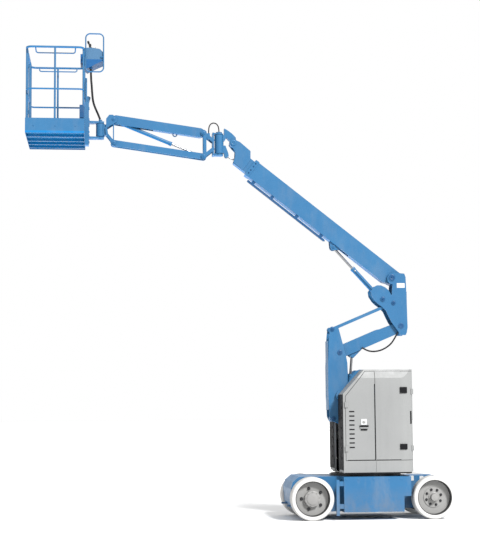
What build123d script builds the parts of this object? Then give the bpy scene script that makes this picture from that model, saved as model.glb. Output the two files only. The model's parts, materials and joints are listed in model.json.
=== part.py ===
from build123d import *
import math
import os

os.makedirs("parts", exist_ok=True)

# ---------------------------------------------------------------------------
# Articulating boom lift on a narrow electric chassis, in millimetres.
# Origin: on the ground under the slewing axis, midway between the axles.
# +X runs from the slewing axis towards the steered axle, +Z is up, +Y is left.
# The boom and platform reach towards -X, as they stand in the rest pose.
# ---------------------------------------------------------------------------

# ---- chassis ----
WHEELBASE = 1600.0
WHEEL_R = 279.5
TYRE_W = 180.0
RIM_R = 226.0
WIDTH = 1190.0
KINGPIN_Y = 352.0
CHASSIS_TOP = 556.0
CHASSIS_BOTTOM = 104.0
CHASSIS_X0 = -1060.0
CHASSIS_X1 = 1010.0
TYRE_IN = WIDTH / 2 - TYRE_W            # inner face of a tyre, |y|

# ---- turntable ----
BASE_Z0, BASE_Z1 = 588.0, 606.0
COVER_X0, COVER_X1 = -380.0, 578.0
COVER_Y = 530.0                          # outer face of the covers, |y|
COVER_YI = 196.0                         # inner edge of the covers, |y|
COVER_Z0, COVER_Z1 = 608.0, 1945.0
COVER_T = 25.0
GROOVE_Z = 762.0
SEAM_X = 46.0
FRAME_TAIL_X = 560.0                     # rear edge of the boom channel plates
HINGE_DEG = -30.0                        # place of the rear door's hinge on the corner arc
FRAME_YI, FRAME_YO = 176.0, 190.0        # side plates of the boom channel

# ---- secondary (riser) linkage: two equal parallelograms ----
T_ARM = (499.0, 1260.0)                  # lower arm pivot on the turntable
T_LINK = (400.0, 950.0)                  # lower link pivot on the turntable
ARM_DX, ARM_DZ = 840.0, 355.0            # run and rise of an arm in the rest pose
M_ARM = (T_ARM[0] - ARM_DX, T_ARM[1] + ARM_DZ)
M_LINK = (T_LINK[0] - ARM_DX, T_LINK[1] + ARM_DZ)
A1 = (M_ARM[0], 2185.0)                  # upper arm pivot on the mid upright
L1 = (M_LINK[0], 2495.0)                 # upper link pivot on the mid upright
A2 = (A1[0] + ARM_DX, A1[1] + ARM_DZ)
L2 = (L1[0] + ARM_DX, L1[1] + ARM_DZ)

# ---- primary boom ----
P = (386.0, 3193.0)                      # primary boom pivot
BOOM_DEG = 38.13                         # rise of the boom in the rest pose
BOOM_TOP, BOOM_BOT = 122.0, -118.0       # faces of the outer box, across its axis
BOOM_W = 75.0                            # half width of the outer box
BOOM_A0, BOOM_A1 = -105.0, 2424.0        # ends of the outer box, along its axis
EXT_W = 62.0
EXT_TOP, EXT_BOT = 100.0, -96.0
E_A, E_N = 2809.0, 122.0                 # levelling pivot, in boom axes
CYL_B = (255.0, 2900.0)                  # lift cylinder foot
CYL_C = (-395.0, 3612.0)                 # lift cylinder rod eye

# ---- jib ----
ROT_X = -1937.0                          # jib slewing axis
U2 = (-2150.0, 5154.0)
JIB_DX, JIB_DZ = 1208.0, 172.0
U1 = (U2[0] - JIB_DX, U2[1] + JIB_DZ)
JIB_SEP = 320.0                          # upper arm over lower arm
D2 = (U2[0], U2[1] - JIB_SEP)
D1 = (U1[0], U1[1] - JIB_SEP)
PROT_X = -3537.0                         # platform slewing axis

# ---- platform ----
PX0, PX1 = -4508.0, -3738.0
PY = 585.0
PZ0 = 5026.0                             # underside of the floor tray
PZ1 = 6184.0                             # top of the top rail
TUBE_R = 14.0

NODES = {}


def put(name, *shapes):
    out = []
    for s in shapes:
        if isinstance(s, (list, tuple, ShapeList)):
            for q in s:
                out.extend(q.solids())
        else:
            out.extend(s.solids())
    NODES.setdefault(name, []).extend(out)


def box(x0, x1, y0, y1, z0, z1):
    return Solid.make_box(x1 - x0, y1 - y0, z1 - z0, Plane(origin=(x0, y0, z0)))


def poly_y(pts, y0, y1):
    face = Face(Wire.make_polygon([(x, y0, z) for x, z in pts], close=True))
    return Solid.extrude(face, Vector(0, y1 - y0, 0))


def poly_z(pts, z0, z1):
    face = Face(Wire.make_polygon([(x, y, z0) for x, y in pts], close=True))
    return Solid.extrude(face, Vector(0, 0, z1 - z0))


def poly_x(pts, x0, x1):
    face = Face(Wire.make_polygon([(x0, y, z) for y, z in pts], close=True))
    return Solid.extrude(face, Vector(x1 - x0, 0, 0))


def cyl_y(c, r, y0, y1):
    return Solid.make_cylinder(r, y1 - y0, Plane(origin=(c[0], y0, c[1]), z_dir=(0, 1, 0)))


def cyl_z(x, y, r, z0, z1):
    return Solid.make_cylinder(r, z1 - z0, Plane(origin=(x, y, z0), z_dir=(0, 0, 1)))


def cyl_x(y, z, r, x0, x1):
    return Solid.make_cylinder(r, x1 - x0, Plane(origin=(x0, y, z), z_dir=(1, 0, 0)))


def rod(p, q, r):
    p, q = Vector(*p), Vector(*q)
    return Solid.make_cylinder(r, (q - p).length, Plane(origin=p, z_dir=(q - p)))


def ring_y(c, r_out, r_in, y0, y1):
    return cyl_y(c, r_out, y0, y1).cut(cyl_y(c, r_in, y0 - 1, y1 + 1))


def fuse(*shapes):
    flat = []
    for s in shapes:
        if isinstance(s, (list, tuple, ShapeList)):
            flat.extend(s)
        else:
            flat.append(s)
    return flat[0].fuse(*flat[1:]) if len(flat) > 1 else flat[0]


def cut(shape, *tools):
    if isinstance(shape, (list, ShapeList)):
        out = []
        for s in shape:
            out.extend(s.cut(*tools).solids())
        return out
    return shape.cut(*tools)


def mirror_y(shape):
    if isinstance(shape, (list, ShapeList)):
        return [mirror(s, about=Plane.XZ) for s in shape]
    return mirror(shape, about=Plane.XZ)


def pair(shape):
    return [shape, mirror_y(shape)]


def bar(p, q, depth, y0, y1):
    """Flat bar in an XZ plane with round ends about p and q."""
    px, pz = p
    qx, qz = q
    length = math.hypot(qx - px, qz - pz)
    ux, uz = (qx - px) / length, (qz - pz) / length
    nx, nz = -uz, ux
    h = depth / 2
    body = poly_y([(px + nx * h, pz + nz * h), (qx + nx * h, qz + nz * h),
                   (qx - nx * h, qz - nz * h), (px - nx * h, pz - nz * h)], y0, y1)
    return body.fuse(cyl_y(p, h, y0, y1), cyl_y(q, h, y0, y1))


def beam(p, q, top, bot, y0, y1, a0=0.0, a1=0.0):
    """Straight beam in an XZ plane: top and bot are its faces off the line p-q."""
    px, pz = p
    qx, qz = q
    length = math.hypot(qx - px, qz - pz)
    ux, uz = (qx - px) / length, (qz - pz) / length
    nx, nz = -uz, ux
    if nz < 0:
        nx, nz = -nx, -nz

    def at(a, n):
        return (px + ux * a + nx * n, pz + uz * a + nz * n)
    return poly_y([at(a0, top), at(length - a1, top), at(length - a1, bot), at(a0, bot)], y0, y1)


def local(p, q):
    """Mapping from (along p->q, above) to (x, z)."""
    px, pz = p
    qx, qz = q
    length = math.hypot(qx - px, qz - pz)
    ux, uz = (qx - px) / length, (qz - pz) / length
    nx, nz = -uz, ux
    if nz < 0:
        nx, nz = -nx, -nz
    return lambda a, n: (px + ux * a + nx * n, pz + uz * a + nz * n)


BC, BS = math.cos(math.radians(BOOM_DEG)), math.sin(math.radians(BOOM_DEG))


def bm(a, n):
    """Point in the boom's own axes: a along it from the pivot, n above its axis."""
    return (P[0] - a * BC + n * BS, P[1] + a * BS + n * BC)


def tube_run(points, r, radii=None, label=None):
    """Round tube along straight runs joined by tangent arcs."""
    pts = [Vector(*p) for p in points]
    if len(pts) == 2:
        return rod(points[0], points[1], r)
    if radii is None:
        radii = []
        for i in range(1, len(pts) - 1):
            a, b = pts[i] - pts[i - 1], pts[i + 1] - pts[i]
            half = math.radians(a.get_angle(b)) / 2
            radii.append(0.45 * min(a.length, b.length) / math.tan(half))
    path = FilletPolyline(*pts, radius=radii)
    start = path @ 0
    prof = Plane(origin=start, z_dir=(path % 0)) * Circle(r)
    solid = sweep(prof, path=path)
    if label:
        want = math.pi * r * r * path.length
        got = sum(s.volume for s in solid.solids())
        print("%s: length %.0f mm, radii %s, volume ratio %.4f"
              % (label, path.length, [round(v) for v in radii], got / want))
    return solid


# ===========================================================================
# Chassis
# ===========================================================================
WX = WHEELBASE / 2
WZ = WHEEL_R

# central body between the axles, the full width of the machine
skirt = box(-392, 397, -592, 592, CHASSIS_BOTTOM, CHASSIS_TOP)
skirt = fuse(skirt, *pair(box(397, 490, 580, 592, 304, CHASSIS_TOP)))
skirt = cut(skirt, box(-352, 357, -552, 552, CHASSIS_BOTTOM + 60, CHASSIS_TOP - 60), cyl_z(0, 0, 250, CHASSIS_BOTTOM - 1, CHASSIS_BOTTOM + 80))
# narrow steer end: lets the front wheels swing
steer_end = poly_y([(397, CHASSIS_BOTTOM + 20), (CHASSIS_X1, CHASSIS_BOTTOM + 20), (CHASSIS_X1, 400), (884, CHASSIS_TOP - 6),
                    (397, CHASSIS_TOP - 6)], -205, 205)
steer_end = cut(steer_end, box(470, WX - 100, -175, 175, CHASSIS_BOTTOM + 80, CHASSIS_TOP - 60))
steer_end = cut(steer_end, box(WX - 64, WX + 64, -206, 206, 225, 337))
# drive end: between the driven wheels, chamfered at its end
drive_end = poly_y([(-392, CHASSIS_BOTTOM), (-960, CHASSIS_BOTTOM), (-1046, 210), (CHASSIS_X0, 400),
                    (-1032, 490), (-950, CHASSIS_TOP), (-392, CHASSIS_TOP)], -392, 392)
drive_end = cut(drive_end, box(-960, -420, -360, 360, CHASSIS_BOTTOM + 60, CHASSIS_TOP - 60))
# tie-down lugs at both ends: level plates with an upright hole
for sy in (1, -1):
    a = box(-1098, -1020, *sorted((sy * 250, sy * 310)), 170, 190)
    drive_end = fuse(drive_end, cut(a, cyl_z(-1080, sy * 280, 12, 100, 300)))
    b = box(1000, 1072, *sorted((sy * 120, sy * 180)), 180, 200)
    steer_end = fuse(steer_end, cut(b, cyl_z(1046, sy * 150, 12, 100, 300)))
put("chassis_frame", skirt, steer_end, drive_end)

# upright guard posts in the recesses behind the driven wheels
posts = []
for sy in (1, -1):
    y0, y1 = sorted((sy * 552, sy * 592))
    post = box(-492, -452, y0, y1, 62, 520)
    arm1 = box(-460, -392, min(sy * 560, sy * 584), max(sy * 560, sy * 584), 440, 500)
    arm2 = box(-460, -392, min(sy * 560, sy * 584), max(sy * 560, sy * 584), 150, 210)
    posts.append(fuse(post, arm1, arm2))
put("guard_posts", *posts)

# drive hubs: motor and gearbox housings from the chassis side into the driven wheels
hubs = []
for sy in (1, -1):
    def yy(a, b):
        return sorted((sy * a, sy * b))
    hub = Solid.make_cylinder(105, 70, Plane(origin=(-WX, yy(392, 462)[0], WZ), z_dir=(0, 1, 0)))
    hub = fuse(hub, Solid.make_cylinder(78, 40, Plane(origin=(-WX, yy(462, 502)[0] - 0.0, WZ), z_dir=(0, 1, 0))))
    hubs.append(hub)
put("drive_hubs", *hubs)

# steer axle: cross beam with a fork for each knuckle
beam_x = box(WX - 55, WX + 55, -300, 300, 231, 331)
forks = []
for sy in (1, -1):
    up = box(WX - 48, WX + 48, *sorted((sy * 290, sy * 396)), 352, 378)
    lo = box(WX - 48, WX + 48, *sorted((sy * 290, sy * 396)), 184, 210)
    web = box(WX - 48, WX + 48, *sorted((sy * 262, sy * 300)), 184, 378)
    pin = cyl_z(WX, sy * KINGPIN_Y, 15, 184, 392)
    forks.append(fuse(up, lo, web, pin))
axle = fuse(beam_x, *forks)
put("steer_axle", axle)

# steering knuckles: block round the kingpin with the stub axle
for side, sy in (("right", -1), ("left", 1)):
    blk = fuse(cyl_z(WX, sy * KINGPIN_Y, 44, 215, 347), box(WX - 42, WX + 42, *sorted((sy * 352, sy * 396)), 215, 347))
    blk = cut(blk, cyl_z(WX, sy * KINGPIN_Y, 15.5, 100, 500))
    stub = cyl_y((WX, WZ), 32, *sorted((sy * 396, sy * 520)))
    plate = cyl_y((WX, WZ), 62, *sorted((sy * 390, sy * 412)))
    put("steer_knuckle_" + side, fuse(blk, stub, plate))

# tyres and rims
def tyre(x, sy):
    y0, y1 = sorted((sy * TYRE_IN, sy * WIDTH / 2))
    t = cyl_y((x, WZ), WHEEL_R, y0, y1)
    t = t.chamfer(16, 12, [e for e in t.edges() if e.geom_type == GeomType.CIRCLE])
    return cut(t, cyl_y((x, WZ), RIM_R, y0 - 1, y1 + 1))


def rim(x, sy, drive):
    out = sy * WIDTH / 2

    def yr(a, b):
        return sorted((out - sy * a, out - sy * b))
    drum = cyl_y((x, WZ), RIM_R - 0.0, *yr(10, 170))
    drum = cut(drum, cyl_y((x, WZ), RIM_R - 10, *yr(0, 180)))
    disc = cyl_y((x, WZ), RIM_R - 4, *yr(84, 96))
    parts_ = [drum, disc]
    if drive:
        parts_.append(cyl_y((x, WZ), 104, *yr(34, 88)))
        r = fuse(*parts_)
        r = cut(r, cyl_y((x, WZ), 84, *yr(92, 200)))
    else:
        parts_.append(cyl_y((x, WZ), 130, *yr(74, 88)))
        parts_.append(cyl_y((x, WZ), 48, *yr(14, 88)))
        parts_.append(cyl_y((x, WZ), 60, *yr(88, 160)))
        r = fuse(*parts_)
        r = cut(r, cyl_y((x, WZ), 32.5, *yr(70, 200)))
    return r


for end, x in (("drive", -WX), ("steer", WX)):
    for side, sy in (("right", -1), ("left", 1)):
        put("tyre_%s_%s" % (end, side), tyre(x, sy))
        put("rim_%s_%s" % (end, side), rim(x, sy, end == "drive"))

# slewing ring, fixed race on the chassis
race = cut(cyl_z(0, 0, 470, CHASSIS_TOP, 584), cyl_z(0, 0, 380, CHASSIS_TOP - 1, 600))
put("slew_ring", race)

# ===========================================================================
# Turntable
# ===========================================================================
def plan(off):
    """Outer plan outline of the turntable at a distance inside its covers."""
    y, x0, x1 = COVER_Y - off, COVER_X0 + off, COVER_X1 - off
    pts = [(x0, -y)]
    cx, cy, r = COVER_X1 - 190, COVER_Y - 190, 190 - off
    for i in range(0, 13):
        t = math.radians(-90 + 7.5 * i)
        pts.append((cx + r * math.cos(t), -cy + r * math.sin(t)))
    pts += [(x, -yy_) for x, yy_ in reversed(pts[1:])]
    pts.append((x0, y))
    return pts


base = poly_z(plan(22), BASE_Z0, BASE_Z1)
base = cut(base, cyl_z(0, 0, 150, BASE_Z0 - 1, BASE_Z1 + 1))
put("turntable_base", base)

# boom channel: two side plates, cross plates and the lower link lugs
side_pts = [(-300, BASE_Z1), (FRAME_TAIL_X - 90, BASE_Z1), (FRAME_TAIL_X, 1000), (FRAME_TAIL_X, 1320),
            (455, 1380), (330, 1940), (-95, 1952), (-150, 1930), (-300, 1700)]
side_plate = poly_y(side_pts, FRAME_YI, FRAME_YO)
side_plate = cut(side_plate, cyl_y((60, 1150), 130, 0, 400), cyl_y((60, 1600), 130, 0, 400))
t_pin = fuse(cyl_y(T_ARM, 25, 127, FRAME_YI + 2), cyl_y(T_ARM, 44, FRAME_YO - 2, FRAME_YO + 5))
t_boss = cyl_y(T_ARM, 62, 167, FRAME_YI + 1)
near_frame = fuse(side_plate, t_pin, t_boss)
cross_1 = box(250, 470, -FRAME_YI, FRAME_YI, BASE_Z1, 644)
link_lug = poly_y([(330, BASE_Z1), (470, BASE_Z1), (440, 950), (430, 985), (400, 996), (370, 985), (360, 950)],
                  48, 62)
link_pin = cyl_y(T_LINK, 20, -72, 72)
frame = fuse(near_frame, mirror_y(near_frame), cross_1, link_lug, mirror_y(link_lug), link_pin)
put("turntable_frame", frame)

# counterweight: cast block across the tail under the boom channel and into both pods
cw_pts = [p for p in plan(40)]
cw = poly_z(cw_pts, BASE_Z1, 1050)
cw = cut(cw, box(-600, 235, -700, 700, 600, 1200))
cw = cut(cw, box(200, 700, -(FRAME_YO + 4), FRAME_YO + 4, 600, 1200))
put("counterweight", cw)

# battery packs, a plain block in each pod
put("battery_packs", *pair(box(-300, 205, -488, -205, BASE_Z1, 1020)))
# hydraulic power unit and control gear, plain blocks
put("power_unit", box(250, 450, -460, -240, 1050, 1290))


def pod_shell():
    """Right-hand pod: outer wall, top, chamfer and tail, open at the bottom and the channel side."""
    zc = 1626.0
    side = [(COVER_X0, COVER_Z0), (COVER_X1 + 5, COVER_Z0), (COVER_X1 + 5, COVER_Z1), (-90, COVER_Z1), (COVER_X0, zc)]
    outer = poly_y(side, -COVER_Y - 10, -COVER_YI)
    outer = outer.intersect(poly_z(plan(0), COVER_Z0 - 1, COVER_Z1 + 1))
    outer = outer[0] if isinstance(outer, (list, ShapeList)) else outer
    # top bevel on the outer edge
    bevel = poly_x([(-COVER_Y - 1, 1832), (-COVER_Y - 1, COVER_Z1 + 1), (-COVER_Y + 46, COVER_Z1 + 1)], -500, 600)
    outer = outer.cut(bevel)
    t = COVER_T
    inn = [(COVER_X0 + t, COVER_Z0 - 1), (COVER_X1 + 5, COVER_Z0 - 1), (COVER_X1 + 5, COVER_Z1 - t), (-90 + t * 0.5, COVER_Z1 - t),
           (COVER_X0 + t, zc - t * 0.5)]
    inner = poly_y(inn, -COVER_Y - 10, -COVER_YI + 1)
    inner = inner.intersect(poly_z(plan(t), COVER_Z0 - 2, COVER_Z1 + 1))
    inner = inner[0] if isinstance(inner, (list, ShapeList)) else inner
    bevel_i = poly_x([(-COVER_Y - 1 + t, 1832 - 8), (-COVER_Y - 1 + t, COVER_Z1 + 1), (-COVER_Y + 46 + t, COVER_Z1 + 1)], -500, 600)
    inner = inner.cut(bevel_i)
    return outer.cut(inner)


shell = pod_shell()
DOOR_Z0 = GROOVE_Z + 4
# doors are cut from the outer wall: front door to the seam, rear door round the tail corner
CC = (COVER_X1 - 190, -(COVER_Y - 190))   # centre of the tail corner


def on_corner(r, deg):
    return (CC[0] + r * math.cos(math.radians(deg)), CC[1] + r * math.sin(math.radians(deg)))


def rear_zone(x, deg, z0, z1):
    return poly_z([(x, -COVER_Y - 40), (CC[0] + 40, -COVER_Y - 60), on_corner(245, deg), on_corner(150, deg), (CC[0], -COVER_Y + 40), (x, -COVER_Y + 40)], z0, z1)


front_hole = poly_y([(COVER_X0 + 28, DOOR_Z0 - 6), (SEAM_X, DOOR_Z0 - 6), (SEAM_X, COVER_Z1 - 20), (-80, COVER_Z1 - 20), (COVER_X0 + 28, 1597)],
                    -COVER_Y - 20, -COVER_Y + 48)
rear_hole = rear_zone(SEAM_X - 1, HINGE_DEG, DOOR_Z0 - 6, 1925)
front_door_zone = poly_y([(COVER_X0 + 34, DOOR_Z0), (SEAM_X - 3, DOOR_Z0), (SEAM_X - 3, COVER_Z1 - 26), (-77, COVER_Z1 - 26), (COVER_X0 + 34, 1594)],
                         -COVER_Y - 20, -COVER_Y + 42)
rear_door_zone = rear_zone(SEAM_X + 3, HINGE_DEG - 1.2, DOOR_Z0, 1919)
front_door = shell.intersect(front_door_zone)
rear_door = shell.intersect(rear_door_zone)
fixed = shell.cut(front_hole, rear_hole, box(SEAM_X - 3, SEAM_X + 3, -COVER_Y - 1, -COVER_Y + 5, COVER_Z0 - 1, DOOR_Z0))


def as_list(s):
    return list(s.solids()) if not isinstance(s, (list, ShapeList)) else [q for t in s for q in t.solids()]


def biggest(s):
    return sorted(as_list(s), key=lambda q: -q.volume)[0]


front_door = biggest(front_door)
rear_door = biggest(rear_door)
fixed = biggest(fixed)
# latch of the front door and the hinge knuckles of both doors
latch = fuse(cyl_y((-108, 1262), 30, -COVER_Y - 5, -COVER_Y + 2), box(-160, -52, -COVER_Y - 12, -COVER_Y + 2, 1176, 1192))
FH = (COVER_X0 + 28, -COVER_Y - 11.5)
RH = on_corner(201.5, HINGE_DEG)
f_hinge, r_hinge = [], []
for z in (880.0, 1450.0):
    f_hinge += [cyl_z(FH[0], FH[1], 10, z, z + 70), box(FH[0] + 2, FH[0] + 36, FH[1], -COVER_Y + 2, z, z + 70)]
for z in (880.0, 1620.0):
    r_hinge += [cyl_z(RH[0], RH[1], 10, z, z + 70),
                poly_z([RH, on_corner(199, -41), on_corner(180, -41), on_corner(180, -32.8)], z, z + 70)]
front_door = fuse(front_door, latch, *f_hinge)
rear_door = fuse(rear_door, *r_hinge)
put("cover_right", fixed)
put("cover_left", mirror_y(fixed))
put("door_right_front", front_door)
put("door_left_front", mirror_y(front_door))
put("door_right_rear", rear_door)
put("door_left_rear", mirror_y(rear_door))

# black end panels at the boom side of each pod
put("end_panels", *pair(box(COVER_X0 - 8, COVER_X0, -COVER_Y + 2, -COVER_YI - 2, 640, 1620)))

# ===========================================================================
# Secondary linkage
# ===========================================================================
LOW_YI, LOW_YO = 129.0, 165.0            # lower arm side beams, |y|
UP_YI, UP_YO = 104.0, 118.0              # side plates of both uprights, |y|
LINK_YI, LINK_YO = 82.0, 98.0            # upper link bars, |y|
ARM_W = 72.0                             # half width of the upper arm
CL = 0.5                                 # radial clearance on pins

# lower arm: a beam each side, joined by a cross tube that carries the cylinder foot
la = local(M_ARM, T_ARM)
low_side = bar(M_ARM, T_ARM, 128, LOW_YI, LOW_YO)
low_side = cut(low_side, cyl_y(T_ARM, 25 + CL, 0, 400), cyl_y(M_ARM, 25 + CL, 0, 400))
tube_c = la(335, -34)
cross = cyl_y(tube_c, 44, -LOW_YI - 2, LOW_YI + 2)
FOOT = la(190, -170)                     # secondary cylinder foot pin
fb = [la(335, 8), la(362, -50), la(330, -80), la(205, -205), la(178, -205), la(162, -180), la(176, -140), la(300, 4)]
foot_plate = poly_y(fb, 50, 62)
foot_pin = cyl_y(FOOT, 18, -66, 66)
lower_arm = fuse(low_side, mirror_y(low_side), cross, foot_plate, mirror_y(foot_plate), foot_pin)
put("lower_arm", lower_arm)

# lower link: single bar in the middle of the channel
ll = bar(M_LINK, T_LINK, 56, -30, 30)
ll = fuse(ll, cyl_y(M_LINK, 40, -42, 42), cyl_y(T_LINK, 40, -42, 42))
ll = cut(ll, cyl_y(M_LINK, 20 + CL, -100, 100), cyl_y(T_LINK, 20 + CL, -100, 100))
put("lower_link", ll)

# mid upright: two side plates with a web on the side away from the turntable
MU = [(-473, 2480), (-431, 2526), (-361, 2536), (-348, 2490), (-318, 2370), (-302, 2311), (-258, 2136),
      (-241, 2043), (-236, 1900), (-241, 1757), (-258, 1664), (-302, 1489), (-353, 1320), (-372, 1266),
      (-462, 1266), (-490, 1330), (-502, 1600), (-502, 2000), (-490, 2285), (-482, 2400)]
mu_plate = poly_y(MU, UP_YI, UP_YO)
mu_plate = fuse(mu_plate,
                cyl_y(M_ARM, 25, UP_YO - 1, 171), cyl_y(M_ARM, 46, UP_YO - 1, 127), cyl_y(M_ARM, 34, 166.5, 171),
                cyl_y(A1, 52, UP_YI - 3, UP_YI + 1), cyl_y(A1, 40, UP_YO - 1, 121),
                cyl_y(L1, 36, UP_YO - 1, 121), cyl_y(M_LINK, 36, UP_YO - 1, 121), cyl_y(L1, 20, 78, UP_YO))
web = box(-500, -488, -UP_YI - 1, UP_YI + 1, 1420, 2340)
a1_pin = cyl_y(A1, 25, -UP_YI - 1, UP_YI + 1)
ml_pin = cyl_y(M_LINK, 20, -UP_YI - 1, UP_YI + 1)
mid = fuse(mu_plate, mirror_y(mu_plate), web, a1_pin, ml_pin)
put("mid_upright", mid)

# upper arm: box beam with forked bracket for the secondary cylinder
ua = local(A1, A2)
ua_len = math.hypot(ARM_DX, ARM_DZ)
arm = poly_y([ua(-10, 62), ua(60, 82), ua(590, 82), ua(640, 70), ua(ua_len, 60), ua(ua_len, -60), ua(800, -80), ua(60, -80), ua(-10, -60)], -ARM_W, ARM_W)
arm = cut(arm, poly_y([ua(95, 72), ua(820, 72), ua(820, -70), ua(95, -70)], -ARM_W + 8, ARM_W - 8))
arm = fuse(arm, cyl_y(A1, 60, -98, 98), cyl_y(A2, 60, -98, 98))
arm = cut(arm, cyl_y(A1, 25 + CL, -200, 200), cyl_y(A2, 25 + CL, -200, 200))
HEAD = ua(152, -110)                     # secondary cylinder rod eye
hb = [ua(100, -78), ua(130, -132), ua(144, -140), ua(160, -140), ua(178, -132), ua(310, -78)]
head_plate = poly_y(hb, 38, 50)
head_plate = fuse(head_plate, cyl_y(HEAD, 24, 50, 54))
arm = cut(arm, poly_y([ua(62, -90), ua(62, -20), ua(268, -20), ua(268, -90)], -36, 36))
# clamps that hold the ends of the hose loop under the arm
H0, H7 = (-36.0, 2251.0), (459.0, 2444.0)
clamps = [cyl_y(H0, 17, -77.5, -ARM_W + 2), cyl_y((456.0, 2450.0), 17, -77.5, -ARM_W + 2)]
upper_arm = fuse(arm, head_plate, mirror_y(head_plate), *clamps)
put("upper_arm", upper_arm)

# upper link: a bar each side, outside the primary boom
ul = fuse(bar(L1, L2, 40, LINK_YI, LINK_YO), cyl_y(L1, 29, LINK_YI, LINK_YO), cyl_y(L2, 29, LINK_YI, LINK_YO))
ul = cut(ul, cyl_y(L1, 20 + CL, 0, 300), cyl_y(L2, 20 + CL, 0, 300))
put("upper_link", *pair(ul))

# rear upright: side plates with the lift cylinder lugs reaching out under the boom
RU = [(556, 3246), (400, 3262), (350, 3238), (320, 3190), (328, 3140), (358, 3112), (392, 3102), (386, 3040), (380, 2965), (370, 2956), (358, 2985),
      (336, 3022), (288, 3062), (234, 3086), (179, 3088), (122, 3056), (94, 3008), (104, 2944), (146, 2880), (190, 2836), (240, 2800),
      (296, 2745), (335, 2660), (368, 2592), (420, 2520), (458, 2470), (488, 2416), (560, 2416), (576, 2450), (588, 2520), (582, 2900), (573, 3200)]
ru_plate = poly_y(RU, UP_YI, UP_YO)
ru_plate = fuse(ru_plate,
                cyl_y(A2, 25, 0, UP_YO), cyl_y(A2, 42, UP_YO - 1, 122),
                cyl_y(L2, 20, 78, UP_YO), cyl_y(L2, 34, UP_YO - 1, 122),
                cyl_y(P, 28, 0, UP_YO), cyl_y(P, 50, UP_YO - 1, 124), cyl_y(P, 62, 79, UP_YI + 1),
                cyl_y(CYL_B, 40, UP_YO - 1, 122))
# inner plates carry the lift cylinder foot, clear of the link bars
ri = poly_y([(572, 2995), (420, 2968), (300, 2948), (240, 2946), (214, 2925), (208, 2890), (222, 2862), (262, 2840), (300, 2800), (420, 2760), (572, 2740)], 60, 76)
ri = fuse(ri, cyl_y(CYL_B, 20, 0, 76), cyl_y(CYL_B, 36, 38, 61))
ru_web = box(572, 586, -UP_YI - 1, UP_YI + 1, 2600, 3000)
rear = fuse(ru_plate, mirror_y(ru_plate), ru_web, ri, mirror_y(ri))
put("rear_upright", rear)

# secondary cylinder
def cylinder_pair(foot, eye, r_barrel, r_rod, eye_r, pin_r, eye_w, barrel_name, rod_name, barrel_len, retract):
    """Hydraulic cylinder in an XZ plane: barrel with a foot ring on its pin, rod with an eye."""
    fx, fz = foot
    ex, ez = eye
    length = math.hypot(ex - fx, ez - fz)
    ux, uz = (ex - fx) / length, (ez - fz) / length

    def at(a):
        return (fx + ux * a, 0.0, fz + uz * a)
    b = rod(at(eye_r * 0.8), at(barrel_len), r_barrel)
    bore = rod(at(eye_r + 24), at(barrel_len + 1), r_rod + 8)
    neck = rod(at(barrel_len - 34), at(barrel_len), r_barrel + 3)
    b = fuse(b, neck, cyl_y(foot, eye_r, -eye_w, eye_w))
    b = cut(b, bore, cyl_y(foot, pin_r + CL, -200, 200))
    gland_ring = rod(at(barrel_len - 26), at(barrel_len - 4), r_rod + 9).cut(rod(at(barrel_len - 40), at(barrel_len + 10), r_rod + 0.4))
    b = fuse(b, gland_ring)
    put(barrel_name, b)
    a_in = eye_r + 26 + retract
    r = rod(at(a_in), at(length - eye_r * 0.7), r_rod)
    piston = rod(at(a_in), at(a_in + 26), r_rod + 7)
    r = fuse(r, piston, cyl_y(eye, eye_r, -eye_w, eye_w))
    put(rod_name, r)


SEC_LEN = math.hypot(HEAD[0] - FOOT[0], HEAD[1] - FOOT[1])
cylinder_pair(FOOT, HEAD, 31, 17, 28, 18, 30, "secondary_barrel", "secondary_rod", SEC_LEN - 245, 218)

# ===========================================================================
# Primary boom
# ===========================================================================
outer = poly_y([bm(BOOM_A0, 60), bm(BOOM_A0 + 40, BOOM_TOP), bm(BOOM_A1, BOOM_TOP), bm(BOOM_A1, BOOM_BOT), bm(60, BOOM_BOT), bm(BOOM_A0, -50)],
               -BOOM_W, BOOM_W)
bore = poly_y([bm(120, BOOM_TOP - 8), bm(BOOM_A1 + 1, BOOM_TOP - 8), bm(BOOM_A1 + 1, BOOM_BOT + 8), bm(120, BOOM_BOT + 8)],
              -BOOM_W + 6, BOOM_W - 6)
outer = cut(outer, bore)
outer = cut(outer, cyl_y(P, 28 + CL, -200, 200))
# collar at the mouth
collar = poly_y([bm(BOOM_A1 - 60, BOOM_TOP + 7), bm(BOOM_A1, BOOM_TOP + 7), bm(BOOM_A1, BOOM_BOT - 7), bm(BOOM_A1 - 60, BOOM_BOT - 7)],
                -BOOM_W - 5, BOOM_W + 5)
collar = cut(collar, poly_y([bm(BOOM_A1 - 61, BOOM_TOP - 1), bm(BOOM_A1 + 1, BOOM_TOP - 1), bm(BOOM_A1 + 1, BOOM_BOT + 1), bm(BOOM_A1 - 61, BOOM_BOT + 1)],
                            -BOOM_W + 1, BOOM_W - 1))
# lift cylinder clevis under the boom
C_A = (P[0] - CYL_C[0]) * BC + (CYL_C[1] - P[1]) * BS
C_N = -(P[0] - CYL_C[0]) * BS + (CYL_C[1] - P[1]) * BC


def bm_loc(dx, dn):
    return bm(C_A + dx, C_N + dn)


cl_plate = poly_y([bm_loc(-95, BOOM_BOT - C_N + 2), bm_loc(-30, -32), bm_loc(-14, -42), bm_loc(14, -42), bm_loc(30, -32), bm_loc(95, BOOM_BOT - C_N + 2)], 40, 54)
cl_plate = fuse(cl_plate, cyl_y(CYL_C, 26, 54, 58))
outer = cut(outer, poly_y([bm(640, BOOM_BOT - 2), bm(640, BOOM_BOT + 14), bm(940, BOOM_BOT + 14), bm(940, BOOM_BOT - 2)], -38, 38))
boom = fuse(outer, collar, cl_plate, mirror_y(cl_plate))
put("primary_boom", boom)

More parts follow.
